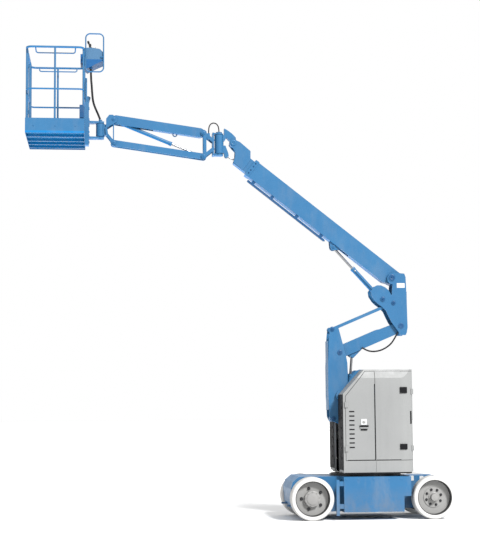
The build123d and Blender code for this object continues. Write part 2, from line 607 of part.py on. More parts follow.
# hose and cable carrier rail under the boom
rail = poly_y([bm(1035, -152), bm(2330, -152), bm(2345, -166), bm(2330, -180), bm(1035, -180), bm(1015, -166)], -70, -30)
r_br = [poly_y([bm(a, BOOM_BOT), bm(a + 46, BOOM_BOT), bm(a + 46, -153), bm(a, -153)], -66, -34) for a in (1080, 1500, 1920, 2240)]
put("cable_carrier", fuse(rail, *r_br))

# extending section with its bent head
EB2 = -66.0                              # raised underside of the inner part, over the rod eye
ext = poly_y([bm(260, EXT_TOP), bm(2640, EXT_TOP), bm(2640, EXT_BOT), bm(1010, EXT_BOT), bm(990, EB2), bm(260, EB2)], -EXT_W, EXT_W)
ext = cut(ext, poly_y([bm(259, EXT_TOP - 8), bm(2650, EXT_TOP - 8), bm(2650, EXT_BOT + 8), bm(1016, EXT_BOT + 8), bm(996, EB2 + 8), bm(259, EB2 + 8)], -EXT_W + 6, EXT_W - 6))
E = bm(E_A, E_N)
head_out = [bm(2482, 80), bm(2557, 178), bm(2744, 186), bm(2806, 172), bm(2848, 150), bm(2858, 112), bm(2838, 76), bm(2780, 62),
            bm(2720, 52), bm(2671, -18), bm(2645, -88), bm(2482, -93)]
cheek = poly_y(head_out, EXT_W - 1, EXT_W + 11)
cheek = fuse(cheek, cyl_y(E, 44, EXT_W + 10, EXT_W + 16), cyl_y(E, 22, 0, EXT_W + 14))
S_G = bm(2170, 66)                        # slave cylinder foot pin
ext_pin = cyl_y(S_G, 14, -EXT_W + 5, EXT_W - 5)
ext_head = fuse(ext, cheek, mirror_y(cheek), ext_pin)
put("boom_extension", ext_head)

# lift cylinder
PRI_LEN = math.hypot(CYL_C[0] - CYL_B[0], CYL_C[1] - CYL_B[1])
cylinder_pair(CYL_B, CYL_C, 32, 17, 26, 20, 34, "lift_barrel", "lift_rod", PRI_LEN - 385, 194)

# ===========================================================================
# Levelling head and jib
# ===========================================================================
S_E = (-1838.0, 4850.0)                  # slave cylinder rod eye on the levelling head
LV_W = 44.0
lv = poly_y([(-1886, 5134), (-1868, 5136), (-1868, 5224), (-1820, 5197), (-1765, 5156), (-1712, 5102), (E[0] + 44, E[1] + 20), (E[0] + 30, E[1] - 36), (E[0] - 20, E[1] - 40),
             (-1795, 5055), (-1840, 5100), (-1858, 5062), (-1886, 5046)], -LV_W, LV_W)
lv = fuse(lv, cyl_y(E, 50, -LV_W - 6, LV_W + 6))
lv = cut(lv, cyl_y(E, 22 + CL, -200, 200))
low_lug = poly_y([(-1900, 4990), (-1900, 4890), (-1871, 4888), (-1866, 4850), (-1856, 4830), (-1838, 4824), (-1820, 4830), (-1808, 4850), (-1815, 4890), (-1852, 4990)], 24, 36)
housing = cyl_z(ROT_X, 0, 62, 4884, 5136)
lv_all = fuse(lv, housing, low_lug, mirror_y(low_lug))
lv_all = cut(lv_all, cyl_z(ROT_X, 0, 30.5, 4800, 5200))
put("levelling_head", lv_all)

SLV_LEN = math.hypot(S_E[0] - S_G[0], S_E[1] - S_G[1])
cylinder_pair(S_G, S_E, 27, 12, 20, 14, 18, "slave_barrel", "slave_rod", SLV_LEN - 150, 110)

# jib base: turns about the vertical axis, carries both jib arms
jb_top = fuse(cyl_z(ROT_X, 0, 58, 5142, 5160), cyl_z(ROT_X, 0, 40, 5160, 5178))
shaft = cyl_z(ROT_X, 0, 30, 4850, 5144)
jb_bot = cyl_z(ROT_X, 0, 54, 4850, 4878)
jb_arm_t = box(-2030, ROT_X, -46, 46, 5142, 5160)
jb_arm_b = box(-2030, ROT_X, -46, 46, 4850, 4878)
jb_web = box(-2030, -2010, -72, 72, 4850, 5160).cut(box(-2040, -2000, -40, 40, 4905, 5085))
JB_YI, JB_YO = 62.0, 72.0
jb_plate = fuse(bar(U2, (-2026, 5056), 44, JB_YI, JB_YO), bar(D2, (-2026, 4934), 44, JB_YI, JB_YO),
                box(-2154, -2112, JB_YI, JB_YO, D2[1], U2[1]), cyl_y(U2, 36, JB_YI, JB_YO), cyl_y(D2, 36, JB_YI, JB_YO))
jb_plate = fuse(jb_plate, cyl_y(U2, 18, 0, JB_YO), cyl_y(U2, 28, JB_YO - 1, JB_YO + 5),
                cyl_y(D2, 18, 38, JB_YO), cyl_y(D2, 28, JB_YO - 1, JB_YO + 5))
bulkhead = box(-2100, -2064, -74, -58, 5095, 5150)
jib_base = fuse(jb_top, shaft, jb_bot, jb_arm_t, jb_arm_b, jb_web, jb_plate, mirror_y(jb_plate), bulkhead)
put("jib_base", jib_base)

# jib upper arm: box beam
ju = local(U2, U1)
ju_len = math.hypot(JIB_DX, JIB_DZ)
up_arm = poly_y([ju(-10, 40), ju(40, 62), ju(ju_len - 20, 62), ju(ju_len + 46, 30), ju(ju_len + 46, -20), ju(ju_len - 20, -60), ju(40, -60), ju(-10, -40)], -50, 50)
up_arm = cut(up_arm, poly_y([ju(70, 54), ju(ju_len - 70, 54), ju(ju_len - 70, -52), ju(70, -52)], -44, 44))
up_arm = fuse(up_arm, cyl_y(U2, 44, -58, 58), cyl_y(U1, 44, -58, 58))
up_arm = cut(up_arm, cyl_y(U2, 18 + CL, -200, 200), cyl_y(U1, 18 + CL, -200, 200))
J1 = ju(ju_len - 70, -22)                # jib cylinder foot
J2 = D2
up_arm = cut(up_arm, poly_y([ju(ju_len - 540, -40), ju(ju_len - 540, -90), ju(ju_len - 30, -90), ju(ju_len - 30, 24), ju(ju_len - 110, 24), ju(ju_len - 370, -20)], -36, 36))
up_arm = fuse(up_arm, cyl_y(J1, 14, -48, 48))
put("jib_upper_arm", up_arm)

# jib lower arm: a beam each side, joined by end tubes
jl = bar(D2, D1, 80, 38, 56)
jl = cut(jl, cyl_y(D2, 18 + CL, 0, 300), cyl_y(D1, 18 + CL, 0, 300))
jd = local(D2, D1)
tie = poly_y([jd(ju_len - 28, -36), jd(ju_len - 28, -25), jd(ju_len + 18, -25), jd(ju_len + 18, -34), jd(ju_len + 8, -36)], -39, 39)
low = fuse(jl, mirror_y(jl), tie)
put("jib_lower_arm", low)

JIB_LEN = math.hypot(J2[0] - J1[0], J2[1] - J1[1])
cylinder_pair(J1, J2, 26, 13, 24, 14, 22, "jib_barrel", "jib_rod", JIB_LEN - 461, 352)

# jib head: keeps the platform level, holds the platform rotator
JH_YI, JH_YO = 62.0, 72.0
jh_plate = poly_y([(-3460, 5216), (-3460, 5331), (-3418, 5385), (-3372, 5386), (-3326, 5352), (-3310, 5322), (-3320, 5290), (-3352, 5268), (-3400, 5240), (-3432, 5216)],
                  JH_YI, JH_YO)
jh_plate = fuse(jh_plate, bar((-3458, 5205), (-3449, 5123), 30, JH_YI, JH_YO), bar((-3449, 5123), (-3384, 5042), 32, JH_YI, JH_YO),
                bar((-3384, 5042), D1, 40, JH_YI, JH_YO), cyl_y(D1, 36, JH_YI, JH_YO), box(-3368, -3354, JH_YI, JH_YO - 2, D1[1], U1[1]))
jh_plate = fuse(jh_plate, cyl_y(U1, 18, 0, JH_YO), cyl_y(U1, 27, JH_YO - 1, JH_YO + 5),
                cyl_y(D1, 18, 34, JH_YO), cyl_y(D1, 27, JH_YO - 1, JH_YO + 5))
jh_web = box(-3462, -3444, -72, 72, 5112, 5256)
jib_head = fuse(jh_plate, mirror_y(jh_plate), jh_web)
put("jib_head", jib_head)
prot = cyl_z(PROT_X, 0, 58, 5098, 5268)
prot = fuse(prot, box(-3500, -3462, -50, 50, 5112, 5256))
prot = cut(prot, cyl_z(PROT_X, 0, 26.5, 5000, 5400))
put("platform_rotator", prot)

# ===========================================================================
# Platform
# ===========================================================================
pm_shaft = cyl_z(PROT_X, 0, 26, 5060, 5310)
pm_top = poly_z([(PROT_X + 50, -40), (PROT_X + 50, 40), (-3700, 60), (-3700, -60)], 5276, 5302)
pm_bot = poly_z([(PROT_X + 50, -40), (PROT_X + 50, 40), (-3700, 60), (-3700, -60)], 5064, 5090)
pm_post = box(-3744, -3690, -60, 60, 4974, 5560)
pm_tip = poly_y([(-3744, 5560), (-3690, 5560), (-3669, 5626), (-3694, 5640), (-3738, 5640)], -40, 40)
pm_tube = fuse(cyl_z(-3728, -46, 13, 5540, 5885), cyl_z(PROT_X, 0, 24, 5300, 5326))
mount = fuse(pm_shaft, cyl_z(PROT_X, 0, 50, 5276, 5302), cyl_z(PROT_X, 0, 50, 5064, 5090), pm_top, pm_bot, pm_post, pm_tip, pm_tube)
put("platform_mount", mount)

# floor tray with its toe board, ribs below
TOE_Z = 5222.0
plate = box(PX0 + 4, PX1 - 10, -PY + 4, PY - 4, PZ0 + 30, PZ0 + 45)
ribs = [box(PX0 + 4, PX1 - 10, y - 20, y + 20, PZ0, PZ0 + 30) for y in (-300, 0, 240, 480)]
board_in = fuse(box(PX1 - 10, PX1 - 6, -PY, PY, PZ0, TOE_Z), box(PX1 - 38, PX1 - 10, -PY + 4, PY - 4, TOE_Z - 4, TOE_Z))
board_out = fuse(box(PX0, PX0 + 4, -PY, PY, PZ0, TOE_Z), box(PX0 + 4, PX0 + 32, -PY + 4, PY - 4, TOE_Z - 4, TOE_Z))
board_side = fuse(box(PX0 + 4, PX1 - 10, -PY, -PY + 4, PZ0, TOE_Z), box(PX0 + 32, PX1 - 38, -PY + 4, -PY + 32, TOE_Z - 4, TOE_Z))
put("platform_floor", plate, *ribs, board_in, board_out, *pair(board_side))

# guard rails: rounded top rail, inner hand rail, mid rail and posts
TR = TUBE_R
top_z = PZ1 - TR
x0, x1, yr = PX0 + TR, PX1 - 6 - TR, PY - TR
GATE_Y = 300.0
top_path = FilletPolyline(Vector(x0, -GATE_Y, top_z), Vector(x0, -yr, top_z), Vector(x1, -yr, top_z), Vector(x1, yr, top_z),
                          Vector(x0, yr, top_z), Vector(x0, GATE_Y, top_z), radius=[70] * 4)
top_rail = sweep(Plane(origin=top_path @ 0, z_dir=top_path % 0) * Circle(TR), path=top_path)
mid_z = 5613.0
mid_path = FilletPolyline(Vector(x0, -GATE_Y, mid_z), Vector(x0, -yr, mid_z), Vector(x1, -yr, mid_z), Vector(x1, yr, mid_z),
                          Vector(x0, yr, mid_z), Vector(x0, GATE_Y, mid_z), radius=[60] * 4)
mid_rail = sweep(Plane(origin=mid_path @ 0, z_dir=mid_path % 0) * Circle(TR - 3), path=mid_path)
rails = [top_rail, mid_rail]
for (x, y) in ((x0, -yr + 75), (x0, yr - 75), (x1, -yr + 75), (x1, yr - 75), ((x0 + x1) / 2, -yr), ((x0 + x1) / 2, yr),
               (x0, -GATE_Y), (x0, GATE_Y)):
    rails.append(cyl_z(x, y, TR - 1, TOE_Z, top_z))
frame_rails = fuse(rails[0], *rails[1:])
# inner hand rails along both short sides, hung from the top rail
HR_Y, HR_Z = PY - 80.0, top_z - 66.0
hr = []
for sy in (1, -1):
    pth = FilletPolyline(Vector(-4380, sy * yr, top_z), Vector(-4372, sy * HR_Y, HR_Z), Vector(-3868, sy * HR_Y, HR_Z),
                         Vector(-3860, sy * yr, top_z), radius=[30, 30])
    hr.append(sweep(Plane(origin=pth @ 0, z_dir=pth % 0) * Circle(8), path=pth))
frame_rails = fuse(frame_rails, *hr)
# anchor plates for lanyards on the mid rail
lan = []
for y in (-300, 300):
    lan.append(box(x1 - 4, x1 + 4, y - 24, y + 24, mid_z, mid_z + 80).cut(cyl_x(y, mid_z + 52, 11, x1 - 6, x1 + 6)))
frame_rails = fuse(frame_rails, *lan)
put("platform_rails", frame_rails)

# swing gate in the long side away from the boom
gx = x0
g_out = FilletPolyline(Vector(gx, -GATE_Y + 44, TOE_Z + 60), Vector(gx, -GATE_Y + 44, top_z), Vector(gx, GATE_Y - 44, top_z), Vector(gx, GATE_Y - 44, TOE_Z + 60),
                       radius=[60, 60])
gate = sweep(Plane(origin=g_out @ 0, z_dir=g_out % 0) * Circle(13), path=g_out)
gate = fuse(gate, rod((gx, -GATE_Y + 44, TOE_Z + 72), (gx, GATE_Y - 44, TOE_Z + 72), 12), rod((gx, -GATE_Y + 44, mid_z), (gx, GATE_Y - 44, mid_z), 11))
# hinge sleeves round the post
for z in (5330.0, 5950.0):
    slv = fuse(cyl_z(gx, -GATE_Y, 20, z, z + 50), box(gx - 8, gx + 8, -GATE_Y + 2, -GATE_Y + 44, z, z + 50))
    gate = fuse(gate, cut(slv, cyl_z(gx, -GATE_Y, TR - 1 + 0.8, z - 1, z + 51)))
put("platform_gate", gate)

# control box on the boom side of the top rail, with its guard hoop
cb = fuse(poly_y([(-3751, 6272), (-3677, 6281), (-3544, 6263), (-3504, 6222), (-3504, 6099), (-3597, 6056), (-3716, 5993), (-3751, 6026)], -150, 150),
          poly_y([(-3804, 6194), (-3804, 6066), (-3751, 6098), (-3740, 6098), (-3740, 6200)], -130, 130))
cb = cut(cb, box(x1 - TR - 0.5, x1 + TR + 0.5, -200, 200, top_z - TR - 0.5, top_z + TR + 0.5))
cb = fuse(cb, cyl_z(-3664, -100, 20, 5998, 6040))
put("control_box", biggest(cb))
GUARD_Y = -165.0
gpts = [(-3734, 5946), (-3734, 6465), (-3496, 6465), (-3496, 5946)]
gp = FilletPolyline(Vector(-3640, GUARD_Y, 5946), *[Vector(x, GUARD_Y, z) for x, z in gpts], Vector(-3638, GUARD_Y, 5946), radius=[60] * 4)
guard = sweep(Plane(origin=gp @ 0, z_dir=gp % 0) * Circle(9), path=gp)
guard = fuse(guard, rod((-3650, GUARD_Y, 5946), (-3630, GUARD_Y, 5946), 9), box(-3540, -3520, -160, -150, 6140, 6160), rod((-3530, GUARD_Y, 6150), (-3496, GUARD_Y, 6150), 6))
put("control_guard", guard)

# ===========================================================================
# Hoses and cables
# ===========================================================================
HY = -88.0
loop_pts = [(-36, HY, 2251), (27, HY, 2211), (110, HY, 2194), (208, HY, 2207), (278, HY, 2238), (347, HY, 2284), (403, HY, 2351), (456, HY, 2450)]
put("hose_arm_loop", tube_run(loop_pts, 10.5, label="hose_arm_loop"))
cable_pts = [(-3664, -100, 5997), (-3664, -100, 5880), (-3653, -100, 5770), (-3646, -99, 5655), (-3634, -88, 5550), (-3602, -60, 5466), (-3564, -26, 5392), (-3541, -4, 5333)]
put("platform_cable", tube_run(cable_pts, 14, label="platform_cable"))
elbow_pts = [(-2082, -66, 5150), (-2082, -66, 5210), (-2066, -60, 5268), (-2020, -42, 5300), (-1966, -16, 5290), (ROT_X, 0, 5240), (ROT_X, 0, 5178)]
put("elbow_hose", tube_run(elbow_pts, 8, label="elbow_hose"))

# ===========================================================================
for name, solids in NODES.items():
    shape = solids[0] if len(solids) == 1 else Compound(solids)
    export_step(shape, "parts/%s.step" % name)
print(len(NODES), "nodes")
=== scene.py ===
import json
import math

import bmesh
import bpy
from mathutils import Matrix, Vector


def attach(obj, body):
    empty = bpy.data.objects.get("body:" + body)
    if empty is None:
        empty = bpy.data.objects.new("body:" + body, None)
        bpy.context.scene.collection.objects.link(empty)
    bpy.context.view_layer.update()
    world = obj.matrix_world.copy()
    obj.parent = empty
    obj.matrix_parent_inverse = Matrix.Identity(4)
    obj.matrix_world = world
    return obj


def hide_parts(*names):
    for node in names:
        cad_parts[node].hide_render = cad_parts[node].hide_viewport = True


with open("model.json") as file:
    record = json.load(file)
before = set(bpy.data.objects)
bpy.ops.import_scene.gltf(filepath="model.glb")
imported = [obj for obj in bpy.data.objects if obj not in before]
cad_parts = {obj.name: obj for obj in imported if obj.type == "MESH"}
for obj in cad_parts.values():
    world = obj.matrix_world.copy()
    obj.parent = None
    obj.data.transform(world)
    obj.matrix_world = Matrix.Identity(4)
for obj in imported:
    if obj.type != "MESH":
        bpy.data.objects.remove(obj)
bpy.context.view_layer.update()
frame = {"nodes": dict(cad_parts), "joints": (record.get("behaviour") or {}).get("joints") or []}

NODES = frame["nodes"]
COLL = bpy.context.scene.collection

# ---------------------------------------------------------------------------
# Camera, at the photograph's viewpoint
# ---------------------------------------------------------------------------
cam_data = bpy.data.cameras.new("camera")
cam = bpy.data.objects.new("camera", cam_data)
COLL.objects.link(cam)
YAW, PITCH, ROLL = math.radians(5.663), math.radians(5.648), math.radians(-0.424)
fwd = Vector((math.sin(YAW) * math.cos(PITCH), math.cos(YAW) * math.cos(PITCH), math.sin(PITCH)))
right = Vector((math.cos(YAW), -math.sin(YAW), 0.0))
up = right.cross(fwd)
right2 = right * math.cos(ROLL) + up * math.sin(ROLL)
up2 = up * math.cos(ROLL) - right * math.sin(ROLL)
rot = Matrix((right2, up2, -fwd)).transposed()
cam.matrix_world = Matrix.Translation(Vector((-3.4861, -18.3792, 1.4346))) @ rot.to_4x4()
cam_data.sensor_fit = "AUTO"
cam_data.sensor_width = 36.0
cam_data.lens = 1380.25 / 546.0 * 36.0
cam_data.clip_end = 400.0
bpy.context.scene.camera = cam

# ---------------------------------------------------------------------------
# Hoses held at both ends: smooth curves on the same route as their solids
# ---------------------------------------------------------------------------
HOSE_ROUTES = {
    "hose_arm_loop": ("upper_arm", 0.0105, 0.614, [(-0.036, -0.088, 2.251), (0.027, -0.088, 2.211), (0.110, -0.088, 2.194), (0.208, -0.088, 2.207),
                                                  (0.278, -0.088, 2.238), (0.347, -0.088, 2.284), (0.403, -0.088, 2.351), (0.456, -0.088, 2.450)]),
    "platform_cable": ("platform", 0.014, 0.699, [(-3.664, -0.100, 5.997), (-3.664, -0.100, 5.880), (-3.653, -0.100, 5.770), (-3.646, -0.099, 5.655),
                                                  (-3.634, -0.088, 5.550), (-3.602, -0.060, 5.466), (-3.564, -0.026, 5.392), (-3.541, -0.004, 5.333)]),
    "elbow_hose": ("jib_base", 0.008, 0.352, [(-2.082, -0.066, 5.150), (-2.082, -0.066, 5.210), (-2.066, -0.060, 5.268), (-2.020, -0.042, 5.300),
                                              (-1.966, -0.016, 5.290), (-1.937, 0.0, 5.240), (-1.937, 0.0, 5.178)]),
}
CORDS = {}
for key, (body, rad, length, route) in HOSE_ROUTES.items():
    cu = bpy.data.curves.new(key + "_line", "CURVE")
    cu.dimensions = "3D"
    sp = cu.splines.new("NURBS")
    sp.points.add(len(route) - 1)
    for pt, co in zip(sp.points, route):
        pt.co = (*co, 1.0)
    sp.order_u = 3
    sp.use_endpoint_u = True
    sp.resolution_u = 8
    cu.bevel_depth = rad
    cu.bevel_resolution = 4
    cu.use_fill_caps = True
    ob = bpy.data.objects.new(key + "_skin", cu)
    COLL.objects.link(ob)
    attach(ob, body)
    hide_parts(key)
    CORDS[key] = ob

# ---------------------------------------------------------------------------
# Materials
# ---------------------------------------------------------------------------


class Mat:
    """Small helper round a node tree with a Principled shader."""

    def __init__(self, name):
        self.m = bpy.data.materials.new(name)
        self.m.use_nodes = True
        self.t = self.m.node_tree
        self.p = self.t.nodes["Principled BSDF"]
        self.tc = self.t.nodes.new("ShaderNodeTexCoord")

    def new(self, kind, **attrs):
        n = self.t.nodes.new(kind)
        for k, v in attrs.items():
            setattr(n, k, v)
        return n

    def link(self, a, b):
        self.t.links.new(a, b)

    def noise(self, scale, detail=3.0, rough=0.55, stretch=None, lo=0.35, hi=0.65):
        """Noise on object coordinates, squeezed between lo and hi to a 0-1 mask."""
        n = self.new("ShaderNodeTexNoise")
        n.inputs["Scale"].default_value = scale
        n.inputs["Detail"].default_value = detail
        n.inputs["Roughness"].default_value = rough
        src = self.tc.outputs["Object"]
        if stretch:
            mp = self.new("ShaderNodeMapping")
            mp.inputs["Scale"].default_value = stretch
            self.link(src, mp.inputs["Vector"])
            src = mp.outputs["Vector"]
        self.link(src, n.inputs["Vector"])
        r = self.new("ShaderNodeMapRange")
        r.inputs["From Min"].default_value = lo
        r.inputs["From Max"].default_value = hi
        self.link(n.outputs["Fac"], r.inputs["Value"])
        return r.outputs["Result"]

    def mix(self, fac, a, b):
        """Colour mix; a and b are colours or sockets."""
        n = self.new("ShaderNodeMix", data_type="RGBA")
        self.link(fac, n.inputs[0])
        for i, c in ((6, a), (7, b)):
            if isinstance(c, (tuple, list)):
                n.inputs[i].default_value = (*c[:3], 1.0)
            else:
                self.link(c, n.inputs[i])
        return n.outputs[2]

    def math(self, op, a, b=None, clamp=False):
        n = self.new("ShaderNodeMath", operation=op, use_clamp=clamp)
        for i, v in ((0, a), (1, b)):
            if v is None:
                continue
            if isinstance(v, (int, float)):
                n.inputs[i].default_value = v
            else:
                self.link(v, n.inputs[i])
        return n.outputs[0]

    def rng(self, src, a, b, c=0.0, d=1.0):
        n = self.new("ShaderNodeMapRange")
        for k, v in (("From Min", a), ("From Max", b), ("To Min", c), ("To Max", d)):
            n.inputs[k].default_value = v
        self.link(src, n.inputs["Value"])
        return n.outputs["Result"]

    def xyz(self):
        s = self.new("ShaderNodeSeparateXYZ")
        self.link(self.tc.outputs["Object"], s.inputs[0])
        return s.outputs

    def bump(self, height, strength, distance):
        b = self.new("ShaderNodeBump")
        b.inputs["Strength"].default_value = strength
        b.inputs["Distance"].default_value = distance
        self.link(height, b.inputs["Height"])
        self.link(b.outputs["Normal"], self.p.inputs["Normal"])
        return b


def paint(name, base, shade, chip=(0.10, 0.105, 0.11), rough=(0.34, 0.48), grime=0.16, coat=0.06, ground=False, underside_painted_shade=None, painted_shade_below_z=None):
    """Sprayed enamel: cloudy colour, orange peel, fine scratches, dust and small chips; an optional painted shade gives
    downward faces a purer, brighter blue.
    """
    a = Mat(name)
    cloud = a.noise(1.3, 4.0, 0.6)
    col = a.mix(cloud, base, shade)
    # painted shade: downward faces, and with the height option every face below that height, take a purer, brighter
    # blue that stands in for the shading of undersides
    if underside_painted_shade:
        nrm = a.new("ShaderNodeSeparateXYZ")
        a.link(a.tc.outputs["Normal"], nrm.inputs[0])
        down_painted_shade_mask = a.rng(nrm.outputs[2], -0.30, -0.62)
        if painted_shade_below_z:
            down_painted_shade_mask = a.math("MAXIMUM", down_painted_shade_mask, a.rng(a.xyz()[2], painted_shade_below_z, painted_shade_below_z - 0.002))
        col = a.mix(down_painted_shade_mask, col, underside_painted_shade)
    dust = a.noise(5.0, 6.0, 0.62, stretch=(1.0, 1.0, 0.35), lo=0.50, hi=0.80)
    dust = a.math("MULTIPLY", dust, grime)
    col = a.mix(dust, col, (0.30, 0.30, 0.29))
    chips = a.noise(38.0, 5.0, 0.7, lo=0.735, hi=0.750)
    col = a.mix(chips, col, chip)
    if ground:
        z = a.xyz()[2]
        low = a.rng(z, 0.45, 0.08)
        low = a.math("MULTIPLY", low, a.noise(9.0, 6.0, 0.7, lo=0.30, hi=0.75))
        col = a.mix(a.math("MULTIPLY", low, 0.55), col, (0.20, 0.17, 0.13))
    a.link(col, a.p.inputs["Base Color"])
    r = a.noise(14.0, 5.0, 0.65)
    a.link(a.rng(r, 0.0, 1.0, rough[0], rough[1]), a.p.inputs["Roughness"])
    peel = a.noise(420.0, 2.0, 0.5, lo=0.2, hi=0.8)
    scratch = a.noise(60.0, 3.0, 0.7, stretch=(1.0, 6.0, 0.15), lo=0.66, hi=0.72)
    h = a.math("SUBTRACT", a.math("MULTIPLY", peel, 0.35), a.math("MULTIPLY", scratch, 0.6))
    h = a.math("SUBTRACT", h, a.math("MULTIPLY", chips, 1.2))
    a.bump(h, 0.22, 0.0006)
    a.p.inputs["Coat Weight"].default_value = coat
    a.p.inputs["Coat Roughness"].default_value = 0.20
    a.p.inputs["Specular IOR Level"].default_value = 0.22
    return a


# the last colour of each blue is painted shade for its undersides; the floor pan's also paints it on everything below
# the floor plate
BLUE = paint("blue_enamel", (0.029, 0.138, 0.295), (0.034, 0.156, 0.322), underside_painted_shade=(0.002, 0.27, 0.72))
BLUE_LOW = paint("blue_enamel_chassis", (0.026, 0.136, 0.295), (0.032, 0.152, 0.320), ground=True, grime=0.30, underside_painted_shade=(0.002, 0.20, 0.50))
BLUE_PAN = paint("blue_enamel_floor_pan_painted_shade", (0.029, 0.138, 0.295), (0.034, 0.156, 0.322), underside_painted_shade=(0.002, 0.185, 0.47), painted_shade_below_z=5.056)
TRIM = paint("dark_blue_enamel", (0.008, 0.070, 0.190), (0.012, 0.085, 0.215))
GREY_RIM = paint("grey_enamel", (0.27, 0.266, 0.26), (0.32, 0.315, 0.305), chip=(0.12, 0.11, 0.10), rough=(0.42, 0.60), grime=0.35, coat=0.08)
BLACK = paint("black_enamel", (0.010, 0.010, 0.011), (0.016, 0.016, 0.017), chip=(0.08, 0.075, 0.07), rough=(0.42, 0.62), grime=0.16, coat=0.05)


def moulded(name, base, shade, rough=(0.42, 0.56), grime=0.18, grain=900.0, spec=0.30):
    """Moulded cover: soft sheen, fine grain, rain streaks."""
    a = Mat(name)
    col = a.mix(a.noise(0.9, 3.0, 0.5), base, shade)
    streak = a.noise(7.0, 5.0, 0.65, stretch=(1.0, 1.0, 0.10), lo=0.50, hi=0.78)
    dark = tuple(0.55 * c for c in base)
    col = a.mix(a.math("MULTIPLY", streak, grime), col, dark)
    speck = a.noise(90.0, 4.0, 0.7, lo=0.70, hi=0.74)
    col = a.mix(a.math("MULTIPLY", speck, 0.5), col, dark)
    a.link(col, a.p.inputs["Base Color"])
    a.link(a.rng(a.noise(11.0, 4.0, 0.6), 0.0, 1.0, rough[0], rough[1]), a.p.inputs["Roughness"])
    wave = a.noise(2.2, 2.0, 0.5, lo=0.2, hi=0.8)
    h = a.math("ADD", a.math("MULTIPLY", a.noise(grain, 2.0, 0.6, lo=0.2, hi=0.8), 0.12), a.math("MULTIPLY", wave, 3.0))
    a.bump(h, 0.30, 0.0006)
    a.p.inputs["Specular IOR Level"].default_value = spec
    return a


def case_material():
    """Control case: the lower tray and the side box are a darker blue than the top shell, as painted shade."""
    a = Mat("control_case_painted_shade")
    x, y, z = a.xyz()
    # painted shade: the lower tray and the side box take a darker blue, standing in for the shade on the down-facing
    # lower slope
    low = a.math("MAXIMUM", a.rng(z, 6.124, 6.118), a.rng(x, -3.750, -3.753))
    top = a.mix(a.noise(0.9, 3.0, 0.5), (0.058, 0.158, 0.290), (0.070, 0.175, 0.310))
    tray_painted_shade = a.mix(a.noise(1.1, 3.0, 0.5), (0.004, 0.095, 0.28), (0.006, 0.110, 0.30))
    col = a.mix(low, top, tray_painted_shade)
    scuff = a.noise(40.0, 5.0, 0.7, lo=0.60, hi=0.76)
    col = a.mix(a.math("MULTIPLY", scuff, 0.20), col, (0.22, 0.23, 0.24))
    a.link(col, a.p.inputs["Base Color"])
    a.link(a.rng(a.noise(11.0, 4.0, 0.6), 0.0, 1.0, 0.42, 0.56), a.p.inputs["Roughness"])
    lip = a.math("SUBTRACT", 1.0, a.math("ABSOLUTE", a.rng(z, 6.116, 6.126, -1.0, 1.0)), clamp=True)
    a.bump(a.math("SUBTRACT", a.math("MULTIPLY", a.noise(900.0, 2.0, 0.6, lo=0.2, hi=0.8), 0.12), a.math("MULTIPLY", lip, 1.5)), 0.30, 0.0008)
    a.p.inputs["Specular IOR Level"].default_value = 0.25
    return a


COVER = moulded("light_grey_cover", (0.285, 0.29, 0.288), (0.32, 0.325, 0.322))
BLACK_PANEL = moulded("black_moulding", (0.006, 0.006, 0.007), (0.010, 0.010, 0.011), rough=(0.55, 0.7), grime=0.1, spec=0.08)
CASE = case_material()
BATTERY = moulded("battery_case", (0.012, 0.012, 0.013), (0.020, 0.020, 0.021), rough=(0.5, 0.7))


def tyre_material():
    a = Mat("white_tyre_rubber")
    x, y, z = a.xyz()
    col = a.mix(a.noise(6.0, 5.0, 0.6), (0.62, 0.615, 0.60), (0.68, 0.675, 0.66))
    scuff = a.noise(30.0, 6.0, 0.75, lo=0.56, hi=0.74)
    col = a.mix(a.math("MULTIPLY", scuff, 0.30), col, (0.34, 0.325, 0.30))
    dx = a.math("SUBTRACT", a.math("ABSOLUTE", x), 0.8)
    dz = a.math("SUBTRACT", z, 0.2795)
    r = a.math("SQRT", a.math("ADD", a.math("MULTIPLY", dx, dx), a.math("MULTIPLY", dz, dz)))
    tread = a.rng(r, 0.262, 0.279)
    grit = a.noise(55.0, 6.0, 0.75, lo=0.35, hi=0.65)
    col = a.mix(a.math("MULTIPLY", a.math("MULTIPLY", tread, grit), 0.45), col, (0.21, 0.20, 0.18))
    a.link(col, a.p.inputs["Base Color"])
    a.p.inputs["Roughness"].default_value = 0.78
    rings = a.new("ShaderNodeMath", operation="SINE")
    a.link(a.math("MULTIPLY", r, 900.0), rings.inputs[0])
    h = a.math("ADD", a.math("MULTIPLY", rings.outputs[0], 0.15), a.noise(200.0, 4.0, 0.6, lo=0.2, hi=0.8))
    a.bump(h, 0.35, 0.0007)
    return a


TYRE = tyre_material()


